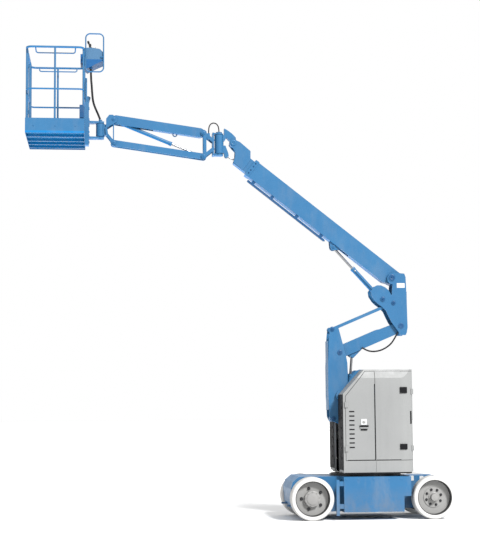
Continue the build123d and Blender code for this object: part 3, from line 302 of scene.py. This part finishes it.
def rim_material():
    """Grey dish; the wall out where the tyre is pressed on, and the rim's inner side, are black as painted shade of the
    deep dish.
    """
    a = Mat("rim_grey_with_painted_shade")
    x, y, z = a.xyz()
    dx = a.math("SUBTRACT", a.math("ABSOLUTE", x), 0.8)
    dz = a.math("SUBTRACT", z, 0.2795)
    r = a.math("SQRT", a.math("ADD", a.math("MULTIPLY", dx, dx), a.math("MULTIPLY", dz, dz)))
    # painted shade: black on the dish wall and on the rim's inner side, standing in for the shadow inside the deep dish
    dish_wall_painted_shade = a.rng(r, 0.2135, 0.2150)
    ay = a.math("ABSOLUTE", y)
    inner = a.rng(ay, 0.494, 0.490)
    col = a.mix(a.noise(3.0, 4.0, 0.6), (0.27, 0.268, 0.260), (0.32, 0.317, 0.308))
    rust = a.noise(24.0, 6.0, 0.7, lo=0.60, hi=0.76)
    col = a.mix(a.math("MULTIPLY", rust, 0.35), col, (0.16, 0.12, 0.09))
    col = a.mix(a.math("MAXIMUM", dish_wall_painted_shade, inner), col, (0.010, 0.010, 0.011))
    a.link(col, a.p.inputs["Base Color"])
    a.link(a.rng(a.noise(12.0, 5.0, 0.6), 0.0, 1.0, 0.42, 0.62), a.p.inputs["Roughness"])
    a.bump(a.noise(160.0, 3.0, 0.6, lo=0.2, hi=0.8), 0.2, 0.0006)
    return a


RIM = rim_material()


def chrome_material():
    a = Mat("chromed_rod")
    a.p.inputs["Metallic"].default_value = 1.0
    col = a.mix(a.noise(8.0, 4.0, 0.6), (0.22, 0.225, 0.235), (0.28, 0.285, 0.295))
    a.link(col, a.p.inputs["Base Color"])
    a.link(a.rng(a.noise(60.0, 3.0, 0.6, stretch=(1, 1, 8)), 0.0, 1.0, 0.16, 0.28), a.p.inputs["Roughness"])
    a.bump(a.noise(300.0, 2.0, 0.5, lo=0.2, hi=0.8), 0.08, 0.0003)
    return a


def metal(name, base, rough=(0.32, 0.5)):
    a = Mat(name)
    a.p.inputs["Metallic"].default_value = 1.0
    col = a.mix(a.noise(16.0, 5.0, 0.7), base, tuple(0.75 * c for c in base))
    a.link(col, a.p.inputs["Base Color"])
    a.link(a.rng(a.noise(30.0, 4.0, 0.6), 0.0, 1.0, rough[0], rough[1]), a.p.inputs["Roughness"])
    a.bump(a.noise(180.0, 3.0, 0.6, lo=0.2, hi=0.8), 0.15, 0.0004)
    return a


def rubber(name, base=(0.010, 0.010, 0.011), rough=(0.48, 0.68)):
    a = Mat(name)
    col = a.mix(a.noise(20.0, 5.0, 0.7), base, tuple(1.9 * c for c in base))
    dust = a.noise(7.0, 5.0, 0.7, lo=0.55, hi=0.80)
    col = a.mix(a.math("MULTIPLY", dust, 0.12), col, (0.22, 0.21, 0.20))
    a.link(col, a.p.inputs["Base Color"])
    a.link(a.rng(a.noise(25.0, 4.0, 0.6), 0.0, 1.0, rough[0], rough[1]), a.p.inputs["Roughness"])
    a.bump(a.noise(350.0, 3.0, 0.6, lo=0.2, hi=0.8), 0.25, 0.0004)
    a.p.inputs["Specular IOR Level"].default_value = 0.12
    return a


CHROME = chrome_material()
STEEL = metal("zinc_plated_steel", (0.42, 0.42, 0.41))
DARK_STEEL = metal("blackened_steel", (0.055, 0.055, 0.058), (0.38, 0.55))
HOSE = rubber("hose_rubber")
GRIP = rubber("grip_rubber", (0.014, 0.014, 0.015))
CAST = moulded("painted_casting", (0.030, 0.031, 0.033), (0.045, 0.046, 0.048), rough=(0.6, 0.8), grain=160.0)
LABEL = moulded("blank_plate", (0.62, 0.63, 0.63), (0.66, 0.67, 0.67), grime=0.10)
RED = moulded("red_button", (0.42, 0.012, 0.010), (0.46, 0.016, 0.012), grime=0.08)
YELLOW = moulded("yellow_ring", (0.62, 0.40, 0.02), (0.66, 0.43, 0.03), grime=0.1)
LAMP = moulded("amber_lens", (0.60, 0.22, 0.02), (0.64, 0.25, 0.03), grime=0.05)

KEY_TRIM = 0.72
for m in [BLUE, BLUE_LOW, BLUE_PAN, TRIM, GREY_RIM, COVER, CASE, RIM, TYRE, LABEL, RED, YELLOW]:
    src = m.p.inputs["Base Color"].links[0].from_socket
    mul = m.new("ShaderNodeVectorMath", operation="SCALE")
    m.link(src, mul.inputs[0])
    mul.inputs["Scale"].default_value = KEY_TRIM
    m.link(mul.outputs[0], m.p.inputs["Base Color"])

MATS = {
    "chassis_frame": BLUE_LOW, "guard_posts": BLUE_LOW, "drive_hubs": GREY_RIM, "steer_axle": BLACK, "slew_ring": BLACK,
    "turntable_base": BLACK, "turntable_frame": BLUE, "counterweight": CAST, "battery_packs": BATTERY, "power_unit": BATTERY,
    "end_panels": BLACK_PANEL, "platform_floor": BLUE_PAN, "cable_carrier": TRIM, "control_box": CASE, "hose_arm_loop": HOSE, "platform_cable": HOSE, "elbow_hose": HOSE,
}
for name, obj in NODES.items():
    mat = MATS.get(name)
    if mat is None:
        if name.startswith("tyre_"):
            mat = TYRE
        elif name.startswith("rim_"):
            mat = RIM
        elif name.startswith("steer_knuckle"):
            mat = BLACK
        elif name.startswith(("cover_", "door_")):
            mat = COVER
        elif name.endswith("_rod"):
            mat = CHROME
        elif name.endswith(("_hose", "_hoses", "_cable")):
            mat = HOSE
        else:
            mat = BLUE
    obj.data.materials.clear()
    obj.data.materials.append(mat.m)
for key, ob in CORDS.items():
    ob.data.materials.append(HOSE.m)

# ---------------------------------------------------------------------------
# Mesh helpers (metres, row frame)
# ---------------------------------------------------------------------------


def finish_mesh(bm, name, mat, body, smooth=40.0, bevel=0.0):
    me = bpy.data.meshes.new(name)
    bmesh.ops.recalc_face_normals(bm, faces=bm.faces)
    bm.to_mesh(me)
    bm.free()
    ob = bpy.data.objects.new(name, me)
    COLL.objects.link(ob)
    if bevel:
        b = ob.modifiers.new("bevel", "BEVEL")
        b.width = bevel
        b.segments = 2
        b.limit_method = "ANGLE"
        b.angle_limit = math.radians(35)
        b.harden_normals = False
    me.materials.append(mat.m)
    for f in me.polygons:
        f.use_smooth = True
    if smooth:
        me.set_sharp_from_angle(angle=math.radians(smooth))
    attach(ob, body)
    return ob


def frame_of(axis):
    a = Vector(axis).normalized()
    ref = Vector((0, 0, 1)) if abs(a.z) < 0.9 else Vector((1, 0, 0))
    u = ref.cross(a).normalized()
    return u, a.cross(u), a


def add_lathe(bm, origin, axis, profile, seg=32, phase=0.0, closed=False):
    """Profile [(radius, height)] turned round axis through origin."""
    u, v, a = frame_of(axis)
    o = Vector(origin)
    rings = []
    for r, h in profile:
        if r <= 1e-7:
            rings.append([bm.verts.new(o + a * h)])
            continue
        ring = []
        for i in range(seg):
            t = 2 * math.pi * i / seg + phase
            ring.append(bm.verts.new(o + a * h + u * (r * math.cos(t)) + v * (r * math.sin(t))))
        rings.append(ring)
    n = len(rings)
    pairs = range(n if closed else n - 1)
    for k in pairs:
        p, q = rings[k], rings[(k + 1) % n]
        for i in range(seg):
            j = (i + 1) % seg
            if len(p) == 1 and len(q) == 1:
                break
            if len(p) == 1:
                bm.faces.new((p[0], q[j], q[i]))
            elif len(q) == 1:
                bm.faces.new((p[i], p[j], q[0]))
            else:
                bm.faces.new((p[i], p[j], q[j], q[i]))
    return rings


def add_hex(bm, origin, axis, r, h, phase=0.0, washer=True):
    """Bolt head standing on a washer, height along axis."""
    base = 0.0
    if washer:
        add_lathe(bm, origin, axis, [(0.0, -0.001), (r * 1.30, -0.001), (r * 1.30, r * 0.12), (r * 1.24, r * 0.18), (0.0, r * 0.18)], 20)
        base = r * 0.16
    add_lathe(bm, origin, axis, [(0.0, base - 0.001), (r, base - 0.001), (r, base + h * 0.82), (r * 0.88, base + h), (0.0, base + h)], 6, phase)
    add_lathe(bm, origin, axis, [(r * 0.45, base + h - 0.0005), (r * 0.45, base + h + r * 0.18), (0.0, base + h + r * 0.22)], 12)


def add_box(bm, x0, x1, y0, y1, z0, z1, m=None):
    vs = [Vector((x, y, z)) for x in (x0, x1) for y in (y0, y1) for z in (z0, z1)]
    if m is not None:
        vs = [m @ v for v in vs]
    v = [bm.verts.new(p) for p in vs]
    for f in ((0, 1, 3, 2), (4, 6, 7, 5), (0, 4, 5, 1), (2, 3, 7, 6), (0, 2, 6, 4), (1, 5, 7, 3)):
        bm.faces.new([v[i] for i in f])


def add_prism(bm, pts, y0, y1):
    """Polygon in XZ, extruded along Y."""
    a = [bm.verts.new((x, y0, z)) for x, z in pts]
    b = [bm.verts.new((x, y1, z)) for x, z in pts]
    bm.faces.new(a)
    bm.faces.new(list(reversed(b)))
    n = len(pts)
    for i in range(n):
        j = (i + 1) % n
        bm.faces.new((a[i], b[i], b[j], a[j]))


def add_tube(bm, pts, r, seg=12, cap=True):
    """Round tube through a list of points."""
    P = [Vector(p) for p in pts]
    n = len(P)
    tans = []
    for i in range(n):
        a = P[min(i + 1, n - 1)] - P[max(i - 1, 0)]
        tans.append(a.normalized())
    u, v, _ = frame_of(tans[0])
    rings = []
    prev = tans[0]
    for i in range(n):
        t = tans[i]
        q = prev.rotation_difference(t)
        u = (q @ u).normalized()
        u = (u - t * u.dot(t)).normalized()
        v = t.cross(u)
        prev = t
        rings.append([bm.verts.new(P[i] + u * (r * math.cos(2 * math.pi * k / seg)) + v * (r * math.sin(2 * math.pi * k / seg))) for k in range(seg)])
    for a, b in zip(rings, rings[1:]):
        for k in range(seg):
            j = (k + 1) % seg
            bm.faces.new((a[k], a[j], b[j], b[k]))
    if cap:
        bm.faces.new(list(reversed(rings[0])))
        bm.faces.new(rings[-1])


def arc_xz(cx, cz, y, r, a0, a1, n=10):
    return [(cx + r * math.cos(math.radians(a0 + (a1 - a0) * i / n)), y, cz + r * math.sin(math.radians(a0 + (a1 - a0) * i / n))) for i in range(n + 1)]


def joint_pos(name):
    j = [q for q in frame["joints"] if q["name"] == name][0]
    return Vector(j["pos_m"])


# ---------------------------------------------------------------------------
# Stage and light
# ---------------------------------------------------------------------------
bm = bmesh.new()
bmesh.ops.create_circle(bm, cap_ends=True, radius=150.0, segments=96)
floor_mesh = bpy.data.meshes.new("floor")
bm.to_mesh(floor_mesh)
bm.free()
floor = bpy.data.objects.new("floor", floor_mesh)
COLL.objects.link(floor)
fl = Mat("pale_floor")
fl.link(fl.mix(fl.noise(0.6, 3.0, 0.5), (0.74, 0.74, 0.74), (0.76, 0.76, 0.76)), fl.p.inputs["Base Color"])
fl.p.inputs["Roughness"].default_value = 0.9
fl.p.inputs["Specular IOR Level"].default_value = 0.1
floor_mesh.materials.append(fl.m)

world = bpy.data.worlds.new("studio")
bpy.context.scene.world = world
world.use_nodes = True
world.node_tree.nodes["Background"].inputs[0].default_value = (1.0, 1.0, 1.0, 1.0)
world.node_tree.nodes["Background"].inputs[1].default_value = 1.0
bpy.context.scene.view_settings.view_transform = "Standard"


def sun(name, towards, strength, angle):
    d = bpy.data.lights.new(name, "SUN")
    d.energy = strength
    d.angle = math.radians(angle)
    o = bpy.data.objects.new(name, d)
    COLL.objects.link(o)
    o.rotation_euler = Vector(towards).to_track_quat("Z", "Y").to_euler()
    return o


sun("key_light", (0.52, -1.0, 0.95), 5.6, 12.0)

# ---------------------------------------------------------------------------
# Wheels
# ---------------------------------------------------------------------------
WZ = 0.2795
for end, wx in (("drive", -0.8), ("steer", 0.8)):
    for side, sy in (("right", -1.0), ("left", 1.0)):
        body = "wheel_%s_%s" % (end, side)
        out = sy * 0.595
        bm = bmesh.new()
        if end == "drive":
            # planetary hub cover standing in the dish, with its ring of bolts
            y = out - sy * 0.034
            add_lathe(bm, (wx, y, WZ), (0, sy, 0), [(0.1035, -0.002), (0.1035, 0.004), (0.098, 0.008), (0.078, 0.009), (0.074, 0.016), (0.050, 0.021), (0.020, 0.024), (0.0, 0.024)], 40)
            add_lathe(bm, (wx + 0.018, y + sy * 0.020, WZ + 0.02), (0, sy, 0), [(0.011, 0.0), (0.011, 0.006), (0.0, 0.008)], 6)
            for i in range(9):
                t = 2 * math.pi * i / 9 + 0.2
                add_hex(bm, (wx + 0.089 * math.cos(t), y + sy * 0.008, WZ + 0.089 * math.sin(t)), (0, sy, 0), 0.0075, 0.005, t)
            hub = finish_mesh(bm, "hub_cover_" + side, GREY_RIM, body)
            bm = bmesh.new()
            for i in range(5):
                t = 2 * math.pi * i / 5 + 0.62
                add_hex(bm, (wx + 0.138 * math.cos(t), out - sy * 0.084, WZ + 0.138 * math.sin(t)), (0, sy, 0), 0.017, 0.020, t)
            finish_mesh(bm, "wheel_nuts_drive_" + side, DARK_STEEL, body)
        else:
            y = out - sy * 0.014
            add_lathe(bm, (wx, y, WZ), (0, sy, 0), [(0.0475, -0.004), (0.0475, 0.001), (0.044, 0.006), (0.030, 0.009), (0.0, 0.010)], 36)
            add_lathe(bm, (wx, out - sy * 0.074, WZ), (0, sy, 0), [(0.070, -0.001), (0.070, 0.006), (0.062, 0.012), (0.052, 0.014), (0.0485, 0.030)], 36)
            finish_mesh(bm, "hub_cap_" + side, GREY_RIM, body)
            bm = bmesh.new()
            for i in range(8):
                t = 2 * math.pi * i / 8 + 0.30
                add_hex(bm, (wx + 0.100 * math.cos(t), out - sy * 0.074, WZ + 0.100 * math.sin(t)), (0, sy, 0), 0.014, 0.014, t)
            finish_mesh(bm, "wheel_nuts_steer_" + side, DARK_STEEL, body)
        # raised shoulder rings moulded in the sidewall
        bm = bmesh.new()
        for r in (0.2355, 0.2555):
            add_lathe(bm, (wx, out, WZ), (0, sy, 0), [(r - 0.0035, -0.002), (r - 0.002, 0.0006), (r + 0.002, 0.0006), (r + 0.0035, -0.002)], 72)
        finish_mesh(bm, "sidewall_rings_%s_%s" % (end, side), TYRE, body)

# ---------------------------------------------------------------------------
# More mesh helpers
# ---------------------------------------------------------------------------


def add_prism_z(bm, pts, z0, z1):
    """Polygon in XY, extruded upwards."""
    a = [bm.verts.new((x, y, z0)) for x, y in pts]
    b = [bm.verts.new((x, y, z1)) for x, y in pts]
    bm.faces.new(a)
    bm.faces.new(list(reversed(b)))
    n = len(pts)
    for i in range(n):
        j = (i + 1) % n
        bm.faces.new((a[i], b[i], b[j], a[j]))


def both(sy, a, b):
    return sorted((sy * a, sy * b))


# ---------------------------------------------------------------------------
# Pins of the linkage: retained heads with keeper plates
# ---------------------------------------------------------------------------
PINS = [  # body, x, z, face |y|, head radius
    ("mid_upright", -0.341, 1.615, 0.171, 0.030), ("mid_upright", -0.341, 2.185, 0.121, 0.034), ("mid_upright", -0.440, 2.495, 0.121, 0.030),
    ("mid_upright", -0.440, 1.305, 0.121, 0.030), ("rear_upright", 0.499, 2.540, 0.122, 0.036), ("rear_upright", 0.400, 2.850, 0.122, 0.029),
    ("rear_upright", 0.386, 3.193, 0.124, 0.042), ("rear_upright", 0.255, 2.900, 0.122, 0.032), ("primary_boom", -0.395, 3.612, 0.058, 0.021),
    ("boom_extension", -1.748, 5.023, 0.078, 0.036), ("jib_base", -2.150, 5.154, 0.077, 0.023), ("jib_base", -2.150, 4.834, 0.077, 0.023),
    ("jib_head", -3.358, 5.326, 0.077, 0.022), ("jib_head", -3.358, 5.006, 0.077, 0.022),
]
for k, (body, x, z, y, r) in enumerate(PINS):
    bm = bmesh.new()
    for sy in (-1.0, 1.0):
        q = 0.4 if k == 4 else 1.0  # this pin passes close inside the lower arm
        add_lathe(bm, (x, sy * y, z), (0, sy, 0), [(0.0, -0.001), (r, -0.001), (r, 0.0035 * q), (r - 0.0025, 0.0055 * q), (r * 0.55, 0.0055 * q), (r * 0.50, 0.0040 * q), (0.0, 0.0040 * q)], 32)
        if k != 4:
            add_hex(bm, (x, sy * (y + 0.004), z), (0, sy, 0), min(0.010, r * 0.36), 0.006, 0.3 * k)
    finish_mesh(bm, "pin_head_%02d" % k, TRIM if body in ("mid_upright", "rear_upright") else BLUE, body)

# bolts round the mouth of the boom
BCO, BSI = math.cos(math.radians(38.13)), math.sin(math.radians(38.13))
BOOM = Matrix(((-BCO, 0.0, BSI, 0.386), (0.0, 1.0, 0.0, 0.0), (BSI, 0.0, BCO, 3.193), (0.0, 0.0, 0.0, 1.0)))


def on_boom(a, y, n):
    return BOOM @ Vector((a, y, n))


bm = bmesh.new()
for sy in (-1.0, 1.0):
    for n in (-0.075, -0.025, 0.035, 0.085):
        add_hex(bm, on_boom(2.395, sy * 0.080, n), (0, sy, 0), 0.0085, 0.006, n * 9)
for a in (2.385, 2.405):
    for y in (-0.045, 0.045):
        add_hex(bm, on_boom(a, y, 0.129), (BSI, 0, BCO), 0.0085, 0.006, a)
finish_mesh(bm, "wear_pad_bolts", TRIM, "primary_boom")

# links of the carrier on its rail
bm = bmesh.new()
a = 1.060
while a < 2.315:
    add_box(bm, a, a + 0.030, -0.0735, -0.0690, -0.1835, -0.1525, BOOM)
    a += 0.038
finish_mesh(bm, "carrier_links", TRIM, "primary_boom", bevel=0.0015)

# cylinder glands, ports and hard lines
def cylinder_trim(name, barrel, foot, eye, blen, r):
    f, e = Vector((foot[0], 0, foot[1])), Vector((eye[0], 0, eye[1]))
    u = (e - f).normalized()
    side = Vector((0, -1, 0))
    n = u.cross(side)
    if n.z < 0:
        n = -n
    bm = bmesh.new()
    add_lathe(bm, f + u * (blen - 0.001), u, [(r * 0.62, -0.004), (r * 0.98, -0.004), (r * 0.98, 0.003), (r * 0.86, 0.007), (r * 0.62, 0.007)], 36)
    for t in (0.12, blen - 0.05):
        o = f + u * t + side * (r - 0.003)
        add_lathe(bm, o, side, [(0.0, 0.0), (0.011, 0.0), (0.011, 0.012), (0.0075, 0.013), (0.0075, 0.020), (0.0, 0.020)], 6)
    finish_mesh(bm, name + "_fittings", STEEL, barrel)
    bm = bmesh.new()
    p0 = f + u * 0.12 + side * (r + 0.010)
    p1 = f + u * (blen - 0.05) + side * (r + 0.010)
    add_tube(bm, [p0, p0 + u * 0.02, p1 - u * 0.02, p1], 0.005, 10)
    finish_mesh(bm, name + "_hard_line", BLUE, barrel)


cylinder_trim("lift_cylinder", "lift_barrel", (0.255, 2.900), (-0.395, 3.612), 0.579, 0.032)

# ---------------------------------------------------------------------------
# Turntable covers: latch, hinges, louvres and recessed handles
# ---------------------------------------------------------------------------
CX, CYR = 0.388, 0.340


def corner(r, deg, sy):
    return (CX + r * math.cos(math.radians(deg)), sy * (CYR - r * math.sin(math.radians(deg))))


for side, sy in (("right", -1.0), ("left", 1.0)):
    front, rear = "door_%s_front" % side, "door_%s_rear" % side
    bm = bmesh.new()
    add_box(bm, -0.146, -0.070, *both(sy, 0.5295, 0.5365), 1.222, 1.300)
    finish_mesh(bm, "latch_plate_" + side, LABEL, front, bevel=0.002)
    bm = bmesh.new()
    add_lathe(bm, (-0.108, sy * 0.5365, 1.261), (0, sy, 0), [(0.0, -0.001), (0.020, -0.001), (0.020, 0.003), (0.017, 0.0045), (0.010, 0.0045), (0.009, 0.003), (0.0, 0.003)], 32)
    add_box(bm, -0.1095, -0.1065, *both(sy, 0.5385, 0.5402), 1.254, 1.268)
    finish_mesh(bm, "latch_keylock_" + side, STEEL, front)
    bm = bmesh.new()
    add_box(bm, -0.167, -0.048, *both(sy, 0.5295, 0.5440), 1.199, 1.217)
    add_box(bm, -0.150, -0.066, *both(sy, 0.5295, 0.5400), 1.152, 1.168)
    finish_mesh(bm, "latch_grip_" + side, BLACK_PANEL, front, bevel=0.003)
    bm = bmesh.new()
    for i in range(9):
        z = 0.925 + i * 0.058
        add_prism(bm, [(-0.300, z), (-0.232, z), (-0.232, z + 0.016), (-0.300, z + 0.016)], *both(sy, 0.5297, 0.5335))
    finish_mesh(bm, "door_louvres_" + side, BLACK_PANEL, front, bevel=0.0015)
    bm = bmesh.new()
    add_prism(bm, [(0.034, 0.766), (0.0425, 0.766), (0.0425, 1.755), (0.034, 1.755)], *both(sy, 0.5297, 0.5315))
    add_box(bm, -0.325, 0.034, *both(sy, 0.5297, 0.5312), 0.766, 0.772)
    finish_mesh(bm, "door_seal_" + side, BLACK_PANEL, front)
    bm = bmesh.new()
    add_box(bm, 0.056, 0.380, *both(sy, 0.5297, 0.5312), 0.766, 0.772)
    finish_mesh(bm, "door_foot_seal_" + side, BLACK_PANEL, rear)
    # hinge covers near the tail corner
    bm = bmesh.new()
    for x0, x1, z0, z1 in ((0.375, 0.473, 1.633, 1.712), (0.367, 0.465, 0.901, 0.973)):
        d1 = -math.degrees(math.acos((x1 - CX) / 0.200))
        angs = [-90 + (d1 + 90) * i / 6 for i in range(7)]
        outer = [(x0, sy * (CYR + 0.204))] + [corner(0.204, q, sy) for q in angs]
        inner = [corner(0.1895, q, sy) for q in reversed(angs)] + [(x0, sy * (CYR + 0.1895))]
        add_prism_z(bm, outer + inner, z0, z1)
    finish_mesh(bm, "door_hinge_covers_" + side, BLACK_PANEL, rear, bevel=0.003)
    bm = bmesh.new()
    for z0, z1 in ((1.231, 1.399),):
        angs = [-47 + 11 * i / 4 for i in range(5)]
        add_prism_z(bm, [corner(0.1930, q, sy) for q in angs] + [corner(0.1895, q, sy) for q in reversed(angs)], z0, z1)
    finish_mesh(bm, "door_handle_recess_" + side, BLACK_PANEL, rear, bevel=0.001)
    # screws along the end panels
    bm = bmesh.new()
    for z in (0.700, 0.920, 1.140, 1.360, 1.560):
        for y in (0.222, 0.505):
            add_lathe(bm, (-0.388, sy * y, z), (-1, 0, 0), [(0.0, -0.001), (0.010, -0.001), (0.010, 0.002), (0.006, 0.0045), (0.0, 0.0048)], 20)
    finish_mesh(bm, "end_panel_screws_" + side, DARK_STEEL, "turntable")
    # ribs pressed in the end panels
    bm = bmesh.new()
    for i in range(6):
        z = 0.78 + i * 0.13
        add_prism_z(bm, [(-0.3875, sy * 0.260), (-0.3925, sy * 0.268), (-0.3925, sy * 0.460), (-0.3875, sy * 0.468)], z, z + 0.030)
    finish_mesh(bm, "end_panel_ribs_" + side, BLACK_PANEL, "turntable", bevel=0.002)

# ---------------------------------------------------------------------------
# Blank plates
# ---------------------------------------------------------------------------
bm = bmesh.new()
for sy in (-1.0, 1.0):
    add_box(bm, 0.557, 0.612, *both(sy, 0.2045, 0.2070), 0.480, 0.545)
    add_box(bm, 0.690, 0.742, *both(sy, 0.2045, 0.2070), 0.500, 0.540)
finish_mesh(bm, "chassis_blank_plates", LABEL, "chassis", bevel=0.0008)
bm = bmesh.new()
for sy in (-1.0, 1.0):
    add_box(bm, 0.450, 0.558, *both(sy, 0.1175, 0.1195), 3.054, 3.117)
finish_mesh(bm, "upright_blank_plates", LABEL, "rear_upright", bevel=0.0008)

# ---------------------------------------------------------------------------
# Chassis: bolts of the axle plates and kingpin caps
# ---------------------------------------------------------------------------
bm = bmesh.new()
for sy in (-1.0, 1.0):
    for x in (-0.36, -0.20, 0.0, 0.20, 0.36):
        add_lathe(bm, (x, sy * 0.592, 0.520), (0, sy, 0), [(0.0, -0.001), (0.012, -0.001), (0.012, 0.0010), (0.009, 0.0024), (0.005, 0.0024), (0.0045, 0.0012), (0.0, 0.0012)], 24)
    for x in (0.44, 0.60, 0.90):
        add_hex(bm, (x, sy * 0.205, 0.180), (0, sy, 0), 0.011, 0.008, x)
finish_mesh(bm, "chassis_bolts", BLUE_LOW, "chassis")
for sy, side in ((-1.0, "right"), (1.0, "left")):
    bm = bmesh.new()
    add_lathe(bm, (0.8, sy * 0.352, 0.392), (0, 0, 1), [(0.0, -0.001), (0.024, -0.001), (0.024, 0.004), (0.020, 0.007), (0.0, 0.007)], 28)
    add_hex(bm, (0.8, sy * 0.352, 0.398), (0, 0, 1), 0.011, 0.007)
    finish_mesh(bm, "kingpin_cap_" + side, STEEL, "chassis")

# ---------------------------------------------------------------------------
# Platform: controls, outlet box, floor grip, bolts and gate latch
# ---------------------------------------------------------------------------
def stick(bm, base, lean, h, r0, r1, knob):
    b = Vector(base)
    u = Vector(lean).normalized()
    add_lathe(bm, b, u, [(0.0, -0.004), (r0 * 2.2, -0.004), (r0 * 2.0, 0.006), (r0 * 1.5, 0.010), (r0 * 1.7, 0.014), (r0 * 1.2, 0.019), (r0 * 1.35, 0.023), (r0, 0.029),
                         (r1, h * 0.55), (r1 * 1.25, h * 0.62), (knob, h * 0.74), (knob, h * 0.93), (knob * 0.7, h), (0.0, h + 0.002)], 28)


bm = bmesh.new()
stick(bm, (-3.668, -0.066, 6.281), (-0.35, 0.0, 1.0), 0.115, 0.014, 0.008, 0.015)
stick(bm, (-3.668, 0.060, 6.281), (-0.10, 0.0, 1.0), 0.105, 0.014, 0.008, 0.015)
finish_mesh(bm, "platform_joysticks", GRIP, "platform")
bm = bmesh.new()
for y in (-0.120, -0.100, -0.080, 0.0, 0.020, 0.110, 0.128):
    add_lathe(bm, (-3.600, y, 6.2705), (-0.13, 0, 1), [(0.0, -0.003), (0.0075, -0.003), (0.0075, 0.004), (0.0045, 0.006), (0.0030, 0.012), (0.0036, 0.024), (0.0, 0.026)], 16)
finish_mesh(bm, "platform_toggles", STEEL, "platform")
bm = bmesh.new()
add_lathe(bm, (-3.640, 0.150, 6.180), (0, 1, 0), [(0.0, -0.002), (0.026, -0.002), (0.026, 0.004), (0.024, 0.005), (0.0, 0.005)], 32)
finish_mesh(bm, "stop_ring", YELLOW, "platform")
bm = bmesh.new()
add_lathe(bm, (-3.640, 0.1545, 6.180), (0, 1, 0), [(0.0, -0.002), (0.009, -0.002), (0.009, 0.008), (0.018, 0.011), (0.019, 0.018), (0.016, 0.023), (0.008, 0.025), (0.0, 0.0255)], 32)
finish_mesh(bm, "stop_button", RED, "platform")
bm = bmesh.new()
add_prism(bm, [(-3.748, 6.2735), (-3.748, 6.2755), (-3.678, 6.2835), (-3.678, 6.2812)], -0.142, 0.142)
add_prism(bm, [(-3.660, 6.2800), (-3.660, 6.2820), (-3.560, 6.2680), (-3.560, 6.2655)], -0.142, 0.142)
finish_mesh(bm, "control_panel_plates", BLACK_PANEL, "platform")
bm = bmesh.new()
add_box(bm, -3.807, -3.748, -0.583, -0.518, 5.231, 5.403)
finish_mesh(bm, "outlet_box", TRIM, "platform", bevel=0.004)
bm = bmesh.new()
add_box(bm, -3.797, -3.758, -0.5840, -0.5815, 5.300, 5.385)
finish_mesh(bm, "outlet_flap", TRIM, "platform", bevel=0.001)
# raised grip bars on the floor
bm = bmesh.new()
for i in range(18):
    x = -4.44 + i * 0.040
    for j in range(6):
        y = -0.50 + j * 0.18 + (0.045 if i % 2 else 0.0)
        add_box(bm, x, x + 0.006, y, y + 0.07, 5.0705, 5.0735)
finish_mesh(bm, "floor_grip", BLUE, "platform", bevel=0.0008)
# bolts under the floor and on the mount
bm = bmesh.new()
for z in (5.020, 5.110, 5.160, 5.250, 5.330, 5.480):
    for y in (-0.045, 0.045):
        add_hex(bm, (-3.690, y, z), (1, 0, 0), 0.009, 0.006, z)
finish_mesh(bm, "mount_bolts", BLUE, "platform")
bm = bmesh.new()
for sy in (-1.0, 1.0):
    for x in (-4.40, -4.12, -3.86):
        add_hex(bm, (x, sy * 0.585, 5.120), (0, sy, 0), 0.008, 0.005, x)
finish_mesh(bm, "toe_board_bolts", BLUE, "platform")
# gate latch
bm = bmesh.new()
add_box(bm, -4.502, -4.486, 0.256, 0.290, 5.700, 5.745)
add_tube(bm, [(-4.494, 0.262, 5.745), (-4.494, 0.262, 5.775), (-4.494, 0.270, 5.788), (-4.494, 0.285, 5.790)], 0.005)
finish_mesh(bm, "gate_latch", STEEL, "platform_gate", bevel=0.001)

# rotator: bolted flanges
bm = bmesh.new()
for i in range(8):
    t = 2 * math.pi * (i + 0.5) / 8
    add_hex(bm, (-3.537 + 0.042 * math.cos(t), 0.042 * math.sin(t), 5.302), (0, 0, 1), 0.006, 0.005, t)
finish_mesh(bm, "rotator_bolts", STEEL, "platform")
bm = bmesh.new()
for i in range(8):
    t = 2 * math.pi * (i + 0.5) / 8
    add_hex(bm, (-1.937 + 0.049 * math.cos(t), 0.049 * math.sin(t), 5.160), (0, 0, 1), 0.006, 0.005, t)
finish_mesh(bm, "slew_cap_bolts", STEEL, "jib_base")

# lifting eye under the jib's upper arm
bm = bmesh.new()
add_lathe(bm, (-2.535, -0.006, 5.140), (0, 1, 0), [(0.020, 0.0), (0.034, 0.0), (0.034, 0.012), (0.020, 0.012)], 28, closed=True)
add_box(bm, -2.548, -2.522, -0.006, 0.006, 5.170, 5.192)
finish_mesh(bm, "jib_eye", BLUE, "jib_upper_arm")
